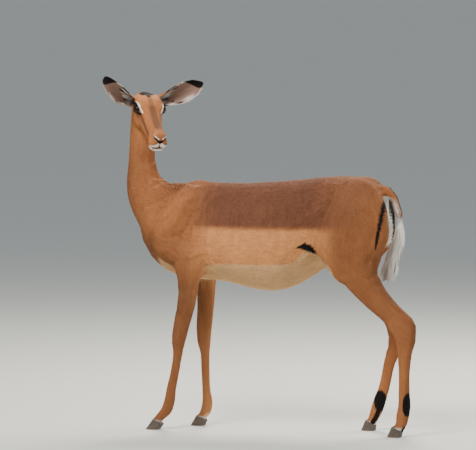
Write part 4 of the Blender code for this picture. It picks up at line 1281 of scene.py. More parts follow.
    def bends(self) -> np.ndarray:
        """Gives how fast the surface turns away along the hair, per metre."""
        ends = np.concatenate([self.edges[:, 0], self.edges[:, 1]])
        others = np.concatenate([self.edges[:, 1], self.edges[:, 0]])
        step = self.points[others] - self.points[ends]
        span = np.maximum(np.linalg.norm(step, axis=1), 1e-5)
        turn = ((self.normals[others] - self.normals[ends]) * step).sum(1) / span**2
        weight = ((step * self.lie[ends]).sum(1) / span) ** 4 + 1e-3
        count = len(self.points)
        found = np.bincount(ends, weight * turn, count) / np.bincount(ends, weight, count)
        return relaxed(found[:, None], self.edges, np.ones(count), 5)[:, 0]

    def coat_lengths(self, marks: dict[str, np.ndarray]) -> tuple[np.ndarray, np.ndarray]:
        """Gives the length of the tufts and how far they lift.

        Args:
            marks: The marks of the coat.

        Returns:
            Lengths in metres, and lifts from 0 to 1.
        """
        x, y, z = self.points.T
        length = np.full(len(x), 0.0095)
        white = marks["white"]
        length += 0.0025 * self.part("neck") + 0.004 * marks["cream"] + 0.002 * white * ramp(z, 0.4, 0.5)
        legs = 1 - ramp(z, 0.28, 0.48)
        length = length * (1 - legs) + 0.0052 * legs
        face = 0.005 - 0.0026 * ramp(self.own[:, 0], 0.06, 0.16)
        length = length * (1 - self.is_head) + face * self.is_head
        near_eye = ramp(-np.linalg.norm(self.folded - np.array(PLAN.eye), axis=1), -0.034, -0.022)
        length = length * (1 - 0.45 * near_eye * self.is_head)
        length = length * (1 - self.ears[:, 0]) + 0.0045 * self.ears[:, 0]
        length += 0.005 * marks["gland"] + 0.003 * fall(z, 0.03, 0.05)
        length -= 0.002 * self.part("tail") * ramp(z, 0.7, 0.74)
        lift = 0.07 + 0.04 * marks["gland"] + 0.1 * marks["cream"] + 0.12 * white * (1 - self.is_head)
        return length, lift


@dataclass
class Tree:
    """Makes and joins the nodes of one node tree."""

    tree: NodeTree

    def node(self, kind: str, given: dict[str | int, object] | None = None, **values: object) -> Node:
        """Adds a node.

        Args:
            kind: Its type.
            given: What its inputs are fed, by name or number.
            values: Its settings, by name.

        Returns:
            The node.
        """
        made = self.tree.nodes.new(kind)
        for name, value in values.items():
            setattr(made, name, value)
        self.fill(made, given or {})
        return made

    def fill(self, made: Node, given: dict[str | int, object]) -> None:
        """Joins each input to an output, or sets its value."""
        for key, value in given.items():
            if isinstance(value, NodeSocket):
                self.tree.links.new(value, made.inputs[key])
            elif value is not None:
                made.inputs[key].default_value = value

    def math(self, operation: str, a: object, b: object = None, clamp: bool = False) -> NodeSocket:
        """Adds a Math node and gives its output."""
        return self.node("ShaderNodeMath", {0: a, 1: b}, operation=operation, use_clamp=clamp).outputs[0]

    def plus(self, a: object, b: object, clamp: bool = False) -> NodeSocket:
        """Adds two values."""
        return self.math("ADD", a, b, clamp)

    def minus(self, a: object, b: object, clamp: bool = False) -> NodeSocket:
        """Takes one value from another."""
        return self.math("SUBTRACT", a, b, clamp)

    def times(self, a: object, b: object, clamp: bool = False) -> NodeSocket:
        """Multiplies two values."""
        return self.math("MULTIPLY", a, b, clamp)

    def vector(self, operation: str, a: object, b: object = None, scale: object = None) -> NodeSocket:
        """Adds a Vector Math node and gives its output."""
        made = self.node("ShaderNodeVectorMath", {0: a, 1: b, 3: scale}, operation=operation)
        return made.outputs["Value" if operation == "DOT_PRODUCT" else "Vector"]

    def mixed(self, share: object, a: object, b: object) -> NodeSocket:
        """Mixes two colours and gives the result."""
        return self.node("ShaderNodeMix", {"Factor": share, 6: a, 7: b}, data_type="RGBA").outputs[2]

    def attribute(self, name: str, output: str = "Fac") -> NodeSocket:
        """Reads numbers stored on the mesh."""
        return self.node("ShaderNodeAttribute", attribute_name=name).outputs[output]

    def noise(self, place: object, scale: float, detail: float = 2.0) -> NodeSocket:
        """Adds a noise and gives its value."""
        given = {"Vector": place, "Scale": scale, "Detail": detail}
        return self.node("ShaderNodeTexNoise", given).outputs["Fac"]

    def bump(self, shader: Node, height: NodeSocket, distance: float, strength: float) -> None:
        """Roughens a shader's surface."""
        made = self.node("ShaderNodeBump", {"Height": height, "Distance": distance, "Strength": strength})
        self.fill(shader, {"Normal": made.outputs["Normal"]})


Colour = tuple[float, float, float, float]
COMBED_WAYS = (
    (1, 0, 0), (0, 0, 1), (1, 0, 1), (1, 0, -1), (0, 1, 0), (0, 1, 1), (0, 1, -1), (1, 1, 0), (1, -1, 0),
)


@dataclass(frozen=True)
class CoatColours:
    """The colours of the coat's marks, with the shade painted on some of them."""

    # the ochre from pale to rich; its richer end also carries painted shade on the lower body
    pale: Colour = (0.52, 0.192, 0.068, 1.0)
    rich: Colour = (0.24, 0.093, 0.039, 1.0)
    flank: Colour = (0.7, 0.295, 0.112, 1.0)
    saddle: Colour = (0.178, 0.069, 0.037, 1.0)
    # the coat's own dark brown, also used as painted shade on the chest, on the knees and in the ears
    dusk: Colour = (0.098, 0.045, 0.026, 1.0)
    rose: Colour = (0.3, 0.185, 0.14, 1.0)
    # painted shade: the white underside as it looks in shade, warmed by light from the ground
    cream: Colour = (0.8, 0.47, 0.225, 1.0)
    white: Colour = (0.95, 0.88, 0.8, 1.0)
    black: Colour = (0.011, 0.009, 0.009, 1.0)

    def combed(self, t: Tree, place: object, lie: object) -> tuple[NodeSocket, NodeSocket]:
        """Draws hairs and locks stretched along the nearest of a few ways.

        Args:
            t: The tree.
            place: The place on the coat.
            lie: The way that the hair lies.

        Returns:
            The hairs' value, and the locks'.
        """
        sums, total = [0.0, 0.0], 0.0
        for way in COMBED_WAYS:
            way = Vector(way).normalized()
            aligned = t.math("ABSOLUTE", t.vector("DOT_PRODUCT", lie, tuple(way)))
            weight = t.plus(t.math("POWER", aligned, 14.0), 1e-4)
            along = t.times(t.vector("DOT_PRODUCT", place, tuple(way)), 0.9)
            shrunk = t.vector("SUBTRACT", place, t.vector("SCALE", tuple(way), scale=along))
            for i, scale in enumerate((760.0, 170.0)):
                sums[i] = t.plus(sums[i], t.times(weight, t.noise(shrunk, scale)))
            total = t.plus(total, weight)
        return t.math("DIVIDE", sums[0], total), t.math("DIVIDE", sums[1], total)

    def group(self) -> NodeTree:
        """Makes the node group that draws the coat's colour and grain from the marks on the mesh."""
        tree = bpy.data.node_groups.new("coat_colours", "ShaderNodeTree")
        sockets = tree.interface
        for name, value in (("Ragged", 0.55), ("Grain", 1.0), ("Level", 1.0)):
            sockets.new_socket(name, in_out="INPUT", socket_type="NodeSocketFloat").default_value = value
        sockets.new_socket("Color", in_out="OUTPUT", socket_type="NodeSocketColor")
        sockets.new_socket("Height", in_out="OUTPUT", socket_type="NodeSocketFloat")
        t = Tree(tree)
        given = t.node("NodeGroupInput").outputs
        place = t.node("ShaderNodeTexCoord").outputs["Object"]
        hairs, locks = self.combed(t, place, t.attribute("lie", "Vector"))
        patches = t.noise(place, 9.0, 3.0)
        ragged = t.times(t.minus(t.times(t.plus(hairs, locks), 0.5), 0.5), given["Ragged"])
        colour = t.mixed(t.attribute("depth"), self.pale, self.rich)
        for name, tint, steep in (
            ("flank", self.flank, 1.0),
            ("saddle", self.saddle, 1.0),
            ("dusk", self.dusk, 1.0),
            ("rose", self.rose, 2.0),
            ("cream", self.cream, 1.5),
            ("white", self.white, 1.8),
            ("black", self.black, 2.2),
        ):
            mark = t.attribute(name)
            centred = t.minus(t.plus(mark, t.times(ragged, t.times(mark, 2.0))), 0.5)
            share = t.plus(t.times(centred, steep), 0.5, clamp=True)
            colour = t.mixed(t.math("MINIMUM", share, t.times(mark, 4.0, clamp=True)), colour, tint)
        fine = t.times(t.minus(hairs, 0.5), 0.2)
        broad = t.times(t.minus(t.plus(patches, locks), 1.0), 0.42)
        shade = t.times(t.minus(t.attribute("shade"), 0.5), 0.26)
        level = t.plus(t.plus(fine, broad), t.plus(shade, 1.0))
        level = t.times(level, given["Level"])
        tone = t.node("ShaderNodeHueSaturation", {"Value": level, "Color": colour})
        height = t.times(t.plus(t.times(hairs, 0.5), locks), given["Grain"])
        t.node("NodeGroupOutput", {"Color": tone.outputs["Color"], "Height": height})
        return tree


@dataclass(frozen=True)
class CoatFinish:
    """Hair: the coat's colours, with a soft gloss and a combed grain."""

    name: str
    roughness: float
    grain: float
    grain_depth: float
    ragged: float = 0.55
    level: float = 1.0

    def material(self, colours: NodeTree) -> Material:
        """Makes the material.

        Args:
            colours: The group that draws the coat's colour.

        Returns:
            The material.
        """
        made, t, shader = bare_material(self.name, self.roughness)
        settings = {"Ragged": self.ragged, "Grain": self.grain, "Level": self.level}
        coat = t.node("ShaderNodeGroup", node_tree=colours)
        t.fill(coat, settings)
        t.fill(shader, {"Base Color": coat.outputs["Color"], "Specular IOR Level": 0.08})
        t.bump(shader, coat.outputs["Height"], self.grain_depth, 0.8)
        return made


def bare_material(name: str, roughness: float) -> tuple[Material, Tree, Node]:
    """Makes a material.

    Args:
        name: Its name.
        roughness: Its roughness.

    Returns:
        The material, its tree, and its shader node.
    """
    made = bpy.data.materials.new(name)
    made.use_nodes = True
    shader = made.node_tree.nodes["Principled BSDF"]
    shader.inputs["Roughness"].default_value = roughness
    return made, Tree(made.node_tree), shader


@dataclass(frozen=True)
class HornFinish:
    """Black horn of the hooves, with growth lines across it and dust in them."""

    name: str = "horn_finish"
    dark: Colour = (0.06, 0.046, 0.036, 1.0)
    worn: Colour = (0.21, 0.155, 0.11, 1.0)

    def material(self) -> Material:
        """Makes the material."""
        made, t, shader = bare_material(self.name, 0.42)
        place = t.node("ShaderNodeTexCoord").outputs["Object"]
        stretched = t.vector("MULTIPLY", place, (60.0, 60.0, 900.0))
        rings = t.noise(stretched, 1.0, 3.0)
        scuffs = t.noise(place, 240.0, 4.0)
        low = t.minus(1.0, t.attribute("height"), clamp=True)
        worn = t.times(t.math("POWER", scuffs, 2.0), t.plus(t.times(low, 1.1), 0.35), clamp=True)
        rough = t.plus(t.times(scuffs, 0.35), 0.25)
        t.fill(shader, {"Base Color": t.mixed(worn, self.dark, self.worn), "Roughness": rough})
        t.bump(shader, t.plus(rings, t.times(scuffs, 0.4)), 0.0007, 0.6)
        return made


@dataclass(frozen=True)
class EyeFinish:
    """A dark brown eye with a level pupil, under a wet clear front."""

    name: str = "eye_finish"
    iris: Colour = (0.022, 0.009, 0.004, 1.0)
    ring: Colour = (0.006, 0.003, 0.002, 1.0)
    pupil: Colour = (0.002, 0.003, 0.005, 1.0)
    white: Colour = (0.03, 0.018, 0.012, 1.0)
    iris_size: float = 0.7
    pupil_width: float = 0.4
    pupil_height: float = 0.17

    def material(self) -> Material:
        """Makes the material."""
        made, t, shader = bare_material(self.name, 0.12)
        gaze = t.attribute("gaze", "Vector")
        across, high, _ = t.node("ShaderNodeSeparateXYZ", {0: gaze}).outputs
        far = t.math("SQRT", t.plus(t.math("POWER", across, 2.0), t.math("POWER", high, 2.0)))
        wide = t.math("POWER", t.math("DIVIDE", t.math("ABSOLUTE", across), self.pupil_width), 2.6)
        tall = t.math("POWER", t.math("DIVIDE", t.math("ABSOLUTE", high), self.pupil_height), 2.6)
        in_pupil = t.times(t.minus(1.15, t.plus(wide, tall)), 5.0, clamp=True)
        fibres = t.noise(t.vector("MULTIPLY", gaze, (9.0, 9.0, 1.0)), 5.0, 4.0)
        iris = t.mixed(fibres, self.ring, self.iris)
        edge = t.times(t.minus(far, self.iris_size - 0.1), 10.0, clamp=True)
        iris = t.mixed(edge, iris, self.ring)
        beyond = t.times(t.minus(far, self.iris_size + 0.08), 10.0, clamp=True)
        colour = t.mixed(beyond, t.mixed(in_pupil, iris, self.pupil), self.white)
        t.fill(shader, {"Base Color": colour, "Specular IOR Level": 0.16})
        t.fill(shader, {"Coat Weight": 0.14, "Coat Roughness": 0.04})
        return made


@dataclass(frozen=True)
class Tuft:
    """A flat closed lock of unit length along x, pointed at both ends, that rises and lies down again."""

    name: str
    rows: tuple[tuple[float, float, float], ...]  # along, height, width
    thickness: float = 0.2  # as a share of the width

    def model(self) -> Object:
        """Makes the lock, which is hidden and only copied."""
        points, faces = [], []
        for along, high, width in self.rows[1:-1]:
            deep = width * self.thickness
            points += [
                (along, -width / 2, high - deep / 2),
                (along, width / 2, high - deep / 2),
                (along, 0.0, high + deep / 2),
            ]
        for row in range(len(self.rows) - 3):
            a, b = row * 3, row * 3 + 3
            for i in range(3):
                j = (i + 1) % 3
                faces += [(a + i, a + j, b + j), (a + i, b + j, b + i)]
        last = len(points) - 3
        for (along, high, _), start in ((self.rows[0], 0), (self.rows[-1], last)):
            faces += [(start + i, start + (i + 1) % 3, len(points)) for i in range(3)]
            points.append((along, 0.0, high))
        made = object_of(self.name, np.array(points), faces)
        local = made.data.attributes.new("local", "FLOAT_VECTOR", "POINT")
        local.data.foreach_set("vector", (np.array(points) * (0.8, 0.8, 0.0)).astype(np.float32).ravel())
        made.hide_render = True
        made.hide_set(True)
        return made


SHORT_TUFT = Tuft("short_tuft", ((0.0, -0.15, 0.0), (0.42, 0.26, 1.0), (1.0, 0.0, 0.0)))
LONG_TUFT = Tuft(
    "long_tuft",
    ((0.0, -0.3, 0.0), (0.15, 0.5, 0.9), (0.4, 1.1, 1.0), (0.65, 1.2, 0.75), (0.86, 0.7, 0.4),
     (1.0, -0.2, 0.0)),
)


class CoatTree:
    """The Geometry Nodes tree that plants locks on a piece of skin."""

    def __init__(self) -> None:
        """Builds the tree, with named inputs."""
        self.tree = bpy.data.node_groups.new("coat_locks", "GeometryNodeTree")
        sockets = self.tree.interface
        sockets.new_socket("Geometry", in_out="INPUT", socket_type="NodeSocketGeometry")
        kinds = (
            ("Lock", "NodeSocketObject"),
            ("Material", "NodeSocketMaterial"),
            ("Locks per square metre", "NodeSocketFloat"),
            ("Width", "NodeSocketFloat"),
            ("Longer", "NodeSocketFloat"),
            ("Raised", "NodeSocketFloat"),
            ("Stray", "NodeSocketFloat"),
            ("Seed", "NodeSocketInt"),
        )
        self.ids = {}
        for name, kind in kinds:
            self.ids[name] = sockets.new_socket(name, in_out="INPUT", socket_type=kind).identifier
        sockets.new_socket("Geometry", in_out="OUTPUT", socket_type="NodeSocketGeometry")
        self.join(Tree(self.tree))

    def random(self, t: Tree, low: float, high: float, seed: int) -> NodeSocket:
        """Gives a random number for each lock."""
        given = {2: low, 3: high, "Seed": seed}
        return t.node("FunctionNodeRandomValue", given, data_type="FLOAT").outputs[1]

    def named(self, t: Tree, name: str, kind: str) -> NodeSocket:
        """Reads a stored number or vector."""
        return t.node("GeometryNodeInputNamedAttribute", {"Name": name}, data_type=kind).outputs["Attribute"]

    def join(self, t: Tree) -> None:
        """Joins the nodes of the tree."""
        given = t.node("NodeGroupInput").outputs
        density = t.times(given["Locks per square metre"], self.named(t, "thick", "FLOAT"))
        spread = t.node("GeometryNodeDistributePointsOnFaces", distribute_method="RANDOM")
        t.fill(spread, {"Mesh": given["Geometry"], "Seed": given["Seed"], "Density": density})
        plane = t.node("GeometryNodeStoreNamedAttribute", data_type="FLOAT", domain="POINT")
        t.fill(plane, {"Name": "shade", "Geometry": spread.outputs["Points"]})
        t.fill(plane, {"Value": self.random(t, 0.0, 1.0, 11)})
        turn = t.node("FunctionNodeAxesToRotation", primary_axis="X", secondary_axis="Z")
        t.fill(turn, {"Primary Axis": self.named(t, "lie", "FLOAT_VECTOR")})
        t.fill(turn, {"Secondary Axis": spread.outputs["Normal"]})
        roll = self.random(t, -0.12, 0.12, 7)
        stray = t.times(self.random(t, -1.0, 1.0, 3), given["Stray"])
        lift = t.plus(self.named(t, "lift", "FLOAT"), given["Raised"])
        lift = t.times(lift, self.random(t, -1.6, -0.4, 5))
        lift = t.plus(lift, self.named(t, "sag", "FLOAT"))
        angles = t.node("ShaderNodeCombineXYZ", {0: roll, 1: lift, 2: stray})
        by = t.node("FunctionNodeEulerToRotation", {0: angles.outputs[0]})
        turned = t.node("FunctionNodeRotateRotation", rotation_space="LOCAL")
        t.fill(turned, {"Rotation": turn.outputs["Rotation"], "Rotate By": by.outputs[0]})
        fur = t.times(self.named(t, "fur", "FLOAT"), given["Longer"])
        fur = t.times(fur, self.random(t, 0.65, 1.25, 9))
        width = t.times(given["Width"], self.named(t, "broad", "FLOAT"))
        width = t.times(width, self.random(t, 0.7, 1.3, 13))
        size = t.node("ShaderNodeCombineXYZ", {0: fur, 1: width, 2: width})
        model = t.node("GeometryNodeObjectInfo", {"Object": given["Lock"]})
        plant = t.node("GeometryNodeInstanceOnPoints")
        t.fill(plant, {"Points": plane.outputs["Geometry"], "Instance": model.outputs["Geometry"]})
        t.fill(plant, {"Rotation": turned.outputs["Rotation"], "Scale": size.outputs[0]})
        solid = t.node("GeometryNodeRealizeInstances", {"Geometry": plant.outputs["Instances"]})
        patch = t.vector("SCALE", self.named(t, "local", "FLOAT_VECTOR"), scale=0.003)
        place = t.vector("ADD", self.named(t, "root_uv", "FLOAT_VECTOR"), patch)
        unwrap = t.node("GeometryNodeStoreNamedAttribute", data_type="FLOAT2", domain="CORNER")
        t.fill(unwrap, {"Name": COAT_MAP, "Geometry": solid.outputs["Geometry"], "Value": place})
        paint = t.node("GeometryNodeSetMaterial")
        t.fill(paint, {"Geometry": unwrap.outputs["Geometry"], "Material": given["Material"]})
        t.node("NodeGroupOutput", {"Geometry": paint.outputs["Geometry"]})

    def grown(self, obj: Object, values: dict[str, object]) -> Object:
        """Grows the locks on a piece of skin, and keeps only them.

        Args:
            obj: The piece of skin.
            values: The tree's inputs, by name.

        Returns:
            The same object, with the locks as its mesh.
        """
        made = obj.modifiers.new("locks", "NODES")
        made.node_group = self.tree
        for name, value in values.items():
            made[self.ids[name]] = value
        return settled(obj)


@dataclass
class CoatPiece:
    """One piece of the coat: which faces of the skin it grows on, and how thick."""

    name: str
    share: np.ndarray  # of each vertex of the skin
    locks: int
    width: float
    stray: float = 0.1
    lock: Tuft = SHORT_TUFT
    seed: int = 1
    longer: float = 1.0
    raised: float = 0.0
    bedded: float = 0.62  # how much of the skin's shading its locks take


class Coat:
    """The coat, as locks of solid mesh in pieces."""

    def __init__(self, skin: Object, facts: dict[str, np.ndarray]) -> None:
        """Takes the skin that the coat grows on.

        Args:
            skin: The skin, in the plan.
            facts: What is stored on its vertices for the locks: lengths, lifts and marks.
        """
        self.skin, self.facts = skin, facts
        self.models = {tuft.name: tuft.model() for tuft in (SHORT_TUFT, LONG_TUFT)}
        self.tree = CoatTree()

    def patch(self, piece: CoatPiece) -> Object:
        """Copies the faces that the piece grows on, and unwraps them."""
        mesh = self.skin.data
        mesh.calc_loop_triangles()
        faces = read(mesh.loop_triangles, "vertices", 3, np.int32)
        faces = faces[piece.share[faces].mean(axis=1) > 0.5]
        used, back = np.unique(faces, return_inverse=True)
        points = points_of(self.skin)[used]
        made = bpy.data.meshes.new(piece.name)
        made.from_pydata([tuple(p) for p in points], [], [tuple(f) for f in back.reshape(-1, 3)])
        obj = bpy.data.objects.new(piece.name, made)
        bpy.context.scene.collection.objects.link(obj)
        for name, values in self.facts.items():
            give(obj, name, values[used])
        bpy.context.view_layer.objects.active = obj
        for other in bpy.context.selected_objects:
            other.select_set(False)
        obj.select_set(True)
        bpy.ops.object.mode_set(mode="EDIT")
        bpy.ops.mesh.select_all(action="SELECT")
        bpy.ops.uv.smart_project(angle_limit=math.radians(66), island_margin=0.002)
        bpy.ops.object.mode_set(mode="OBJECT")
        rows = np.zeros((len(obj.data.loops), 3), np.float32)
        rows[:, :2] = read(obj.data.uv_layers[0].data, "uv", 2)
        while obj.data.uv_layers:
            obj.data.uv_layers.remove(obj.data.uv_layers[0])
        layer = obj.data.attributes.new("root_uv", "FLOAT_VECTOR", "CORNER")
        layer.data.foreach_set("vector", rows.ravel())
        return obj

    def grow(self, piece: CoatPiece, finish: Material) -> Object:
        """Grows one piece of the coat.

        Args:
            piece: The piece.
            finish: Its material.

        Returns:
            The locks.
        """
        obj = self.patch(piece)
        thick = read(obj.data.attributes["thick"].data, "value", 1)[:, 0]
        area = sum(face.area * thick[face.vertices[0]] for face in obj.data.polygons)
        self.tree.grown(
            obj,
            {
                "Lock": self.models[piece.lock.name],
                "Material": finish,
                "Locks per square metre": piece.locks / area,
                "Width": piece.width,
                "Longer": piece.longer,
                "Raised": piece.raised,
                "Stray": piece.stray,
                "Seed": piece.seed,
            },
        )
        outward(obj)
        self.bed(obj, piece.bedded)
        for name in ("fur", "lift", "sag", "broad", "thick", "local", "root_uv", "bed"):
            if name in obj.data.attributes:
                obj.data.attributes.remove(obj.data.attributes[name])
        return obj

    def bed(self, obj: Object, share: float) -> None:
        """Turns the locks' shading towards that of the skin, as in hair that lies flat.

        Args:
            obj: The locks.
            share: How much of the skin's shading they take.
        """
        mesh = obj.data
        under = read(mesh.attributes["bed"].data, "vector", 3)
        own = read(mesh.vertices, "normal", 3)
        mixed = unit(share * unit(under) + (1 - share) * own)
        mesh.shade_smooth()
        mesh.normals_split_custom_set_from_vertices(mixed)

    def clear(self) -> None:
        """Takes the models of the locks away."""
        for model in self.models.values():
            bpy.data.objects.remove(model)


@dataclass(frozen=True)
class Eye:
    """One eyeball, with a cornea that bulges from it."""

    side: Side
    segments: int = 64
    rings: int = 40
    bulge: float = 0.05
    cornea: float = 38.0  # degrees from the middle of the gaze to the cornea's edge

    def build(self, finish: Material) -> Object:
        """Makes the eyeball.

        Args:
            finish: Its material.

        Returns:
            The piece.
        """
        bm = bmesh.new()
        bmesh.ops.create_uvsphere(bm, u_segments=self.segments, v_segments=self.rings, radius=1.0)
        points = np.array([vertex.co for vertex in bm.verts])
        faces = [tuple(vertex.index for vertex in face.verts) for face in bm.faces]
        bm.free()
        out, nose, up = LIDS.axes(self.side)
        away = np.degrees(np.arccos(np.clip(points[:, 2], -1, 1)))
        radius = PLAN.eye_radius * (1 + self.bulge * fall(away, self.cornea * 0.5, self.cornea * 1.2))
        placed = points @ np.stack([nose, up, out]) * radius[:, None]
        centre = PLAN.eye_own(self.side)
        obj = object_of(f"eyeball_{self.side.name.lower()}", PLAN.out(placed + centre), faces)
        give(obj, "gaze", points)
        obj.data.materials.append(finish)
        return finished(obj, (f"eye_{self.side.name.lower()}",))


@dataclass(frozen=True)
class Foot:
    """One foot of two claws."""

    name: str
    side: Side
    toe: float
    aside: float
    lean: float


@dataclass(frozen=True)
class Claws:
    """The claws of a foot: pointed in front, grown in rings, with a rim under the hair."""

    foot: Foot
    length: float = 0.045
    width: float = 0.0166
    cleft: float = 0.0022
    front: float = 0.032
    back: float = 0.017
    crown: float = 0.034
    sides: int = 56
    rows: int = 18
    flat: float = 0.9
    point: float = 0.45

    def ring(self, up: float, towards: float) -> np.ndarray:
        """Gives one ring of a claw.

        Args:
            up: How far up the wall it lies, from 0 to 1.
            towards: The sign of y on the claw's own side of the foot.

        Returns:
            Its points.
        """
        angle = np.arange(self.sides) * 2 * math.pi / self.sides
        along, across = (1 - np.cos(angle)) / 2, np.sin(angle)
        taper = (1 - self.point * (1 - along) ** 2) * (1 - up) + up
        width = self.width / 2 * taper * (1 - 0.05 * math.sin(math.pi * up))
        x_low = self.foot.toe + self.length * along
        x_high = self.foot.toe + self.foot.lean + self.crown * along
        z_high = self.front + (self.back - self.front) * along
        inner = -towards * across > 0
        y = self.foot.side.value * self.foot.aside + towards * (self.cleft + self.width) / 2
        return np.stack([x_low + (x_high - x_low) * up, y + across * width * np.where(inner, self.flat, 1.0),
                         z_high * up], 1)

    def build(self, finish: Material) -> None:
        """Makes both claws.

        Args:
            finish: Their material.
        """
        for place, towards in (("outer", self.foot.side.value), ("inner", -self.foot.side.value)):
            ups = np.linspace(0.02, 1.0, self.rows)
            rings = [self.ring(up, towards) for up in ups]
            sole = rings[0].copy()
            middle = sole.mean(axis=0)
            sole = middle + (sole - middle) * (0.9, 0.9, 1.0)
            sole[:, 2] = 0.0
            hollow = middle + (sole - middle) * (0.72, 0.72, 1.0)
            hollow[:, 2] = 0.0012
            top = rings[-1] + (0, 0, 0.003)
            top = top.mean(axis=0) + (top - top.mean(axis=0)) * (0.85, 0.85, 1.0)
            rows = np.array([hollow, sole, *rings, top])
            form = Form("claw", rows, rows.mean(axis=1), np.ones(len(rows)), rows.mean(axis=1))
            points, faces = form.mesh(0)
            name = f"{self.foot.name}_{place}"
            obj = object_of("claw_" + name, points, faces)
            give(obj, "height", points[:, 2] / self.front)
            obj.data.materials.append(finish)
            finished(obj, ("hoof_" + name,))


FEET = (
    Foot("fore_left", Side.LEFT, -0.369, 0.069, 0.023),
    Foot("fore_right", Side.RIGHT, -0.2525, 0.061, 0.019),
    Foot("hind_left", Side.LEFT, 0.43, 0.076, 0.015),
    Foot("hind_right", Side.RIGHT, 0.314, 0.07, 0.014),
)
FLESH_NODES = (
    "trunk", "neck", "head", "tail", "tail_brush", "ear_left", "ear_right",
    "forearm_fore_left", "forearm_fore_right", "gaskin_hind_left", "gaskin_hind_right",
    "cannon_fore_left", "cannon_fore_right", "cannon_hind_left", "cannon_hind_right",
    "pastern_fore_left", "pastern_fore_right", "pastern_hind_left", "pastern_hind_right",
)
# the skin's level of 0.9 is painted shade: the skin seen between the locks is darkened as if shaded by them
COAT_FINISH = CoatFinish("coat_finish", roughness=0.62, grain=1.0, grain_depth=0.0004, level=0.9)
# the brush's level of 1.1 is painted light: its white is brightened past its own colour to stand for light
# shining through the hair
WHITE_FINISH = CoatFinish("white_hair_finish", roughness=0.55, grain=0.7, grain_depth=0.0002, level=1.1)
LOCK_FINISH = CoatFinish("lock_finish", roughness=0.58, grain=1.0, grain_depth=0.0002, ragged=0.3)
LEG_TOP = 0.42  # where the coat of the legs meets that of the body
BODY_EDGE, FACE_EDGE, EYE_EDGE, MARK_EDGE = 0.0085, 0.002, 0.0011, 0.0034  # the skin's longest edges there
HOCK_SHIFT = 0.0065  # how far the flesh of the left hind cannon lies in front of its plain form


def near_marks(points: np.ndarray, reach: float) -> np.ndarray:
    """Tells which points lie near the small marks of the body, where its faces are cut finer."""
    x, y, z = points.T
    flat = points[:, (0, 2)]
    line = np.array(RUMP_STRIPE)
    behind = abs(x - RUMP_SLANT * abs(y) - np.interp(z, line[:, 0], line[:, 1]))
    near = (behind < reach) & (z > 0.57) & (z < 0.78) & (x > 0.33)
    near |= (near_line(flat, FOLD_LINE)[0] < reach) & (abs(y) > 0.04)
    for mark in GLANDS:
        spot = np.hypot((x - mark.centre[0]) / mark.half_width, (z - mark.centre[1]) / mark.half_length)
        near |= (spot < 1 + reach * 20) & (np.sign(y) == mark.side.value) & (reach > 0.015)
    return near


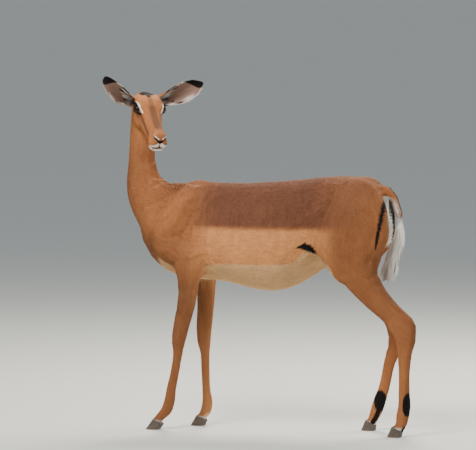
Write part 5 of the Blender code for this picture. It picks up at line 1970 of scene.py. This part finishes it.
class Impala:
    """The whole animal."""

    def __init__(self) -> None:
        """Makes the skin and everything that is drawn on it."""
        self.flesh = Flesh()
        self.forms = self.flesh.forms()
        self.skin, self.ears = self.make_skin()
        shape = (points_of(self.skin), normals_of(self.skin), edges_of(self.skin))
        self.surface = Surface(*shape, self.ears, self.forms)
        self.colours = CoatColours().group()
        self.marks = self.surface.marks()
        self.length, self.lift = self.surface.coat_lengths(self.marks)

    def head_part(self, points: np.ndarray, first: float) -> np.ndarray:
        """Tells which points belong to the head, ahead of a place along it."""
        own = PLAN.own(points)
        within = (own[:, 0] > first) & (own[:, 2] > -0.116) & (abs(own[:, 1]) < 0.07)
        return within & (points[:, 2] > HEAD_LOW)

    def make_skin(self) -> tuple[Object, np.ndarray]:
        """Joins, blends and sculpts the forms.

        Returns:
            The skin, and its ear facts.
        """
        flesh = self.flesh
        skin = flesh.joined(self.forms)
        flesh.blended(skin)
        flesh.inset(skin)
        flesh.thinned(skin)
        for _ in range(2):
            flesh.refined(skin, points_of(skin)[:, 2] > LEG_TOP, BODY_EDGE)
        flesh.refined(skin, self.head_part(points_of(skin), -0.03), FACE_EDGE)
        points = points_of(skin)
        move_points(skin, relaxed(points, edges_of(skin), self.head_part(points, -0.03).astype(float), 2))
        points = points_of(skin)
        own = PLAN.own(points)
        near = np.linalg.norm(PLAN.folded(points) - np.array(PLAN.eye), axis=1) < EYE_REGION
        flesh.refined(skin, near | ((own[:, 0] > 0.168) & (points[:, 2] > HEAD_LOW)), EYE_EDGE)
        for reach in (0.022, 0.015):
            flesh.refined(skin, near_marks(points_of(skin), reach), MARK_EDGE)
        points = points_of(skin)
        move_points(skin, relaxed(points, edges_of(skin), self.head_part(points, -0.03).astype(float), 2))
        points = points_of(skin)
        x, y, z = points.T
        points[:, 0] -= HOCK_SHIFT * ramp(z, 0.03, 0.08) * fall(z, 0.26, 0.34) * (y < 0) * (x > 0.25)
        move_points(skin, points)
        flesh.carve_body(skin)
        flesh.carve_legs(skin, self.forms)
        flesh.carve_face(skin)
        flesh.open_eyes(skin)
        return with_ears(skin)

    def finish_skin(self) -> None:
        """Gives the skin its marks, its material and its place."""
        plain_shade = np.full(len(self.length), 0.5)
        for name, values in (self.marks | {"lie": self.surface.lie, "shade": plain_shade}).items():
            give(self.skin, name, values)
        self.skin.data.materials.clear()
        self.skin.data.materials.append(COAT_FINISH.material(self.colours))
        finished(self.skin, FLESH_NODES)

    def broad(self) -> np.ndarray:
        """Gives how broad the locks are, against their piece's own."""
        muzzle = ramp(self.surface.own[:, 0], 0.1, 0.16) * self.surface.is_head
        z = self.surface.points[:, 2]
        to_legs = 1 - 0.28 * fall(z, LEG_TOP, LEG_TOP + 0.1) * (z > LEG_TOP)
        return (1 - 0.3 * muzzle) * (1 + 0.7 * self.marks["gland"]) * to_legs

    def thick(self) -> np.ndarray:
        """Gives how thick the locks stand, against their piece's own."""
        muzzle = ramp(self.surface.own[:, 0], 0.1, 0.16) * self.surface.is_head
        return 1 + 0.6 * muzzle + 1.2 * self.marks["gland"] + 0.4 * self.marks["white"]

    def lash_line(self) -> np.ndarray:
        """Gives the edge of the upper lids, where the lashes grow."""
        surface = self.surface
        share = np.zeros(len(surface.points))
        for side in Side:
            local = surface.own - PLAN.eye_own(side)
            near = np.linalg.norm(local, axis=1) < EYE_REGION
            inside = LIDS.inside(local[near], side)
            up = local[near] @ LIDS.axes(side)[2]
            nose = local[near] @ LIDS.axes(side)[1]
            share[near] = np.maximum(share[near], (inside > -9) * (inside < 1) * (up > 0.002) * (nose < 0.01))
        return share

    def grow_coat(self) -> None:
        """Grows the coat over the skin in pieces."""
        points = self.surface.points
        z = points[:, 2]
        ears = self.ears[:, 0]
        head = self.surface.is_head * (1 - ears)
        tail = (self.surface.part("tail", "brush") > 0.5) * (1 - head)
        brush = tail * (z < 0.69)
        legs = (z < LEG_TOP).astype(float)
        neck = (self.surface.part("neck") > 0.5) * (1 - head) * (1 - ears)
        body = (1 - head) * (1 - ears) * (1 - tail) * (1 - legs) * (1 - neck)
        left = (points[:, 1] < 0).astype(float)
        rear = (points[:, 0] > 0.17).astype(float)
        near_skin = ramp(z, 0.02, 0.03)
        bends = self.surface.bends()
        turned = bends * np.where(brush > 0, 0.0, self.length) * np.where(bends > 0, 0.38, 0.9)
        hollow = 0.05 * ramp(-bends, 1.0, 8.0) * (1 - self.surface.is_head)
        facts = self.marks | {
            "lie": self.surface.lie,
            "fur": np.where(brush > 0, np.clip(z - 0.49, 0.012, 0.058), self.length),
            "lift": self.lift * (1 - 0.4 * brush) + 0.26 * brush * fall(z, 0.54, 0.64) + hollow,
            "bed": self.surface.normals,
            "sag": np.clip(turned, -0.45, 0.3),
            "broad": self.broad(),
            "thick": near_skin * self.thick(),
        }
        coat = Coat(self.skin, facts)
        plain, white = (finish.material(self.colours) for finish in (LOCK_FINISH, WHITE_FINISH))
        pieces = (
            CoatPiece("coat_body_left", body * left * (1 - rear), 32000, 0.00125),
            CoatPiece("coat_body_right", body * (1 - left) * (1 - rear), 30000, 0.00125, seed=2),
            CoatPiece("coat_rump_left", body * left * rear, 22000, 0.00125, seed=3),
            CoatPiece("coat_rump_right", body * (1 - left) * rear, 20000, 0.00125, seed=4),
            CoatPiece("coat_neck", neck, 28000, 0.0012, seed=5),
            CoatPiece("coat_head", head, 32500, 0.00062, seed=6),
            CoatPiece("coat_ears", ears, 17000, 0.0006, 0.2, seed=7),
            CoatPiece("ear_hair", ears * self.ears[:, 3] * (self.marks["white"] > 0.25), 1000, 0.0006, 0.35,
                      LONG_TUFT, 12, 3.2, 0.15),
            CoatPiece("lashes", self.lash_line(), 130, 0.0005, 0.3, LONG_TUFT, 13, 3.0, 0.55, 0.0),
            CoatPiece("coat_legs_fore", legs * (points[:, 0] < 0), 20000, 0.0009, seed=8),
            CoatPiece("coat_legs_hind", legs * (points[:, 0] > 0) * (1 - tail), 24000, 0.0009, seed=9),
            CoatPiece("coat_tail", tail * (1 - brush), 1300, 0.0011, 0.2, LONG_TUFT, 10, bedded=0.4),
            CoatPiece("tail_brush_hair", brush, 3200, 0.0018, 0.2, LONG_TUFT, 11, bedded=0.85),
        )
        for piece in pieces:
            obj = coat.grow(piece, white if piece.name == "tail_brush_hair" else plain)
            finished(obj)
        coat.clear()


@dataclass(frozen=True)
class Studio:
    """A pale floor, soft lights and the camera."""

    azimuth: float = math.radians(14.0)
    elevation: float = math.radians(4.5)
    lens: float = 304.0
    distance: float = 13.0
    aim_right: float = -0.0775
    aim_up: float = 0.662
    floor_half: float = 120.0

    def ways(self) -> tuple[Vector, Vector, Vector]:
        """Gives the camera's ways right, up and back."""
        sa, ca = math.sin(self.azimuth), math.cos(self.azimuth)
        se, ce = math.sin(self.elevation), math.cos(self.elevation)
        return Vector((ca, sa, 0)), Vector((-sa * se, ca * se, ce)), Vector((sa * ce, -ca * ce, se))

    def floor(self) -> None:
        """Lays a plain floor that reaches further than any view."""
        half = self.floor_half
        mesh = bpy.data.meshes.new("floor")
        corners = [(-half, -half, 0), (half, -half, 0), (half, half, 0), (-half, half, 0)]
        mesh.from_pydata(corners, [], [(0, 1, 2, 3)])
        obj = bpy.data.objects.new("floor", mesh)
        bpy.context.scene.collection.objects.link(obj)
        made, _, shader = bare_material("floor_finish", 0.75)
        shader.inputs["Base Color"].default_value = (0.62, 0.63, 0.6, 1.0)
        obj.data.materials.append(made)

    def light(self, name: str, right: float, back: float, high: float, size: float, power: float,
              colour: tuple[float, float, float]) -> None:
        """Hangs a soft light, placed by the camera's ways, and points it at the animal."""
        ways = self.ways()
        level = Vector((ways[2].x, ways[2].y, 0)).normalized()
        lamp = bpy.data.lights.new(name, "AREA")
        lamp.size = size
        lamp.energy = power
        lamp.color = colour
        obj = bpy.data.objects.new(name, lamp)
        obj.location = ways[0] * right + level * back + Vector((0, 0, high))
        aim = Vector((0, 0, 0.65)) - obj.location
        obj.rotation_mode = "QUATERNION"
        obj.rotation_quaternion = aim.to_track_quat("-Z", "Y")
        bpy.context.scene.collection.objects.link(obj)

    def build(self) -> None:
        """Sets the floor, the lights, the sky and the camera."""
        self.floor()
        self.light("key", -1.5, 2.2, 3.7, 1.5, 185.0, (1.0, 0.96, 0.9))
        self.light("rim", 0.4, -1.8, 3.2, 1.2, 150.0, (1.0, 0.93, 0.82))
        self.light("fill", 2.7, -1.3, 2.0, 1.6, 95.0, (1.0, 0.96, 0.88))
        world = bpy.data.worlds.new("studio")
        world.use_nodes = True
        background = world.node_tree.nodes["Background"]
        background.inputs["Color"].default_value = (0.84, 0.9, 0.94, 1.0)
        background.inputs["Strength"].default_value = 0.5
        bpy.context.scene.world = world
        right, up, back = self.ways()
        data = bpy.data.cameras.new("view")
        data.lens = self.lens
        camera = bpy.data.objects.new("view", data)
        aim = right * self.aim_right + up * self.aim_up + ORIGIN
        camera.location = aim + back * self.distance
        camera.rotation_mode = "QUATERNION"
        camera.rotation_quaternion = back.to_track_quat("Z", "Y")
        bpy.context.scene.collection.objects.link(camera)
        bpy.context.scene.camera = camera


def main() -> None:
    """Builds the animal and its studio."""
    logging.basicConfig(level=logging.INFO, format="%(name)s: %(message)s")
    impala = Impala()
    impala.grow_coat()
    impala.finish_skin()
    eye_finish = EyeFinish().material()
    for side in Side:
        Eye(side).build(eye_finish)
    horn = HornFinish().material()
    for foot in FEET:
        Claws(foot).build(horn)
    Studio().build()


if __name__ == "__main__":
    main()
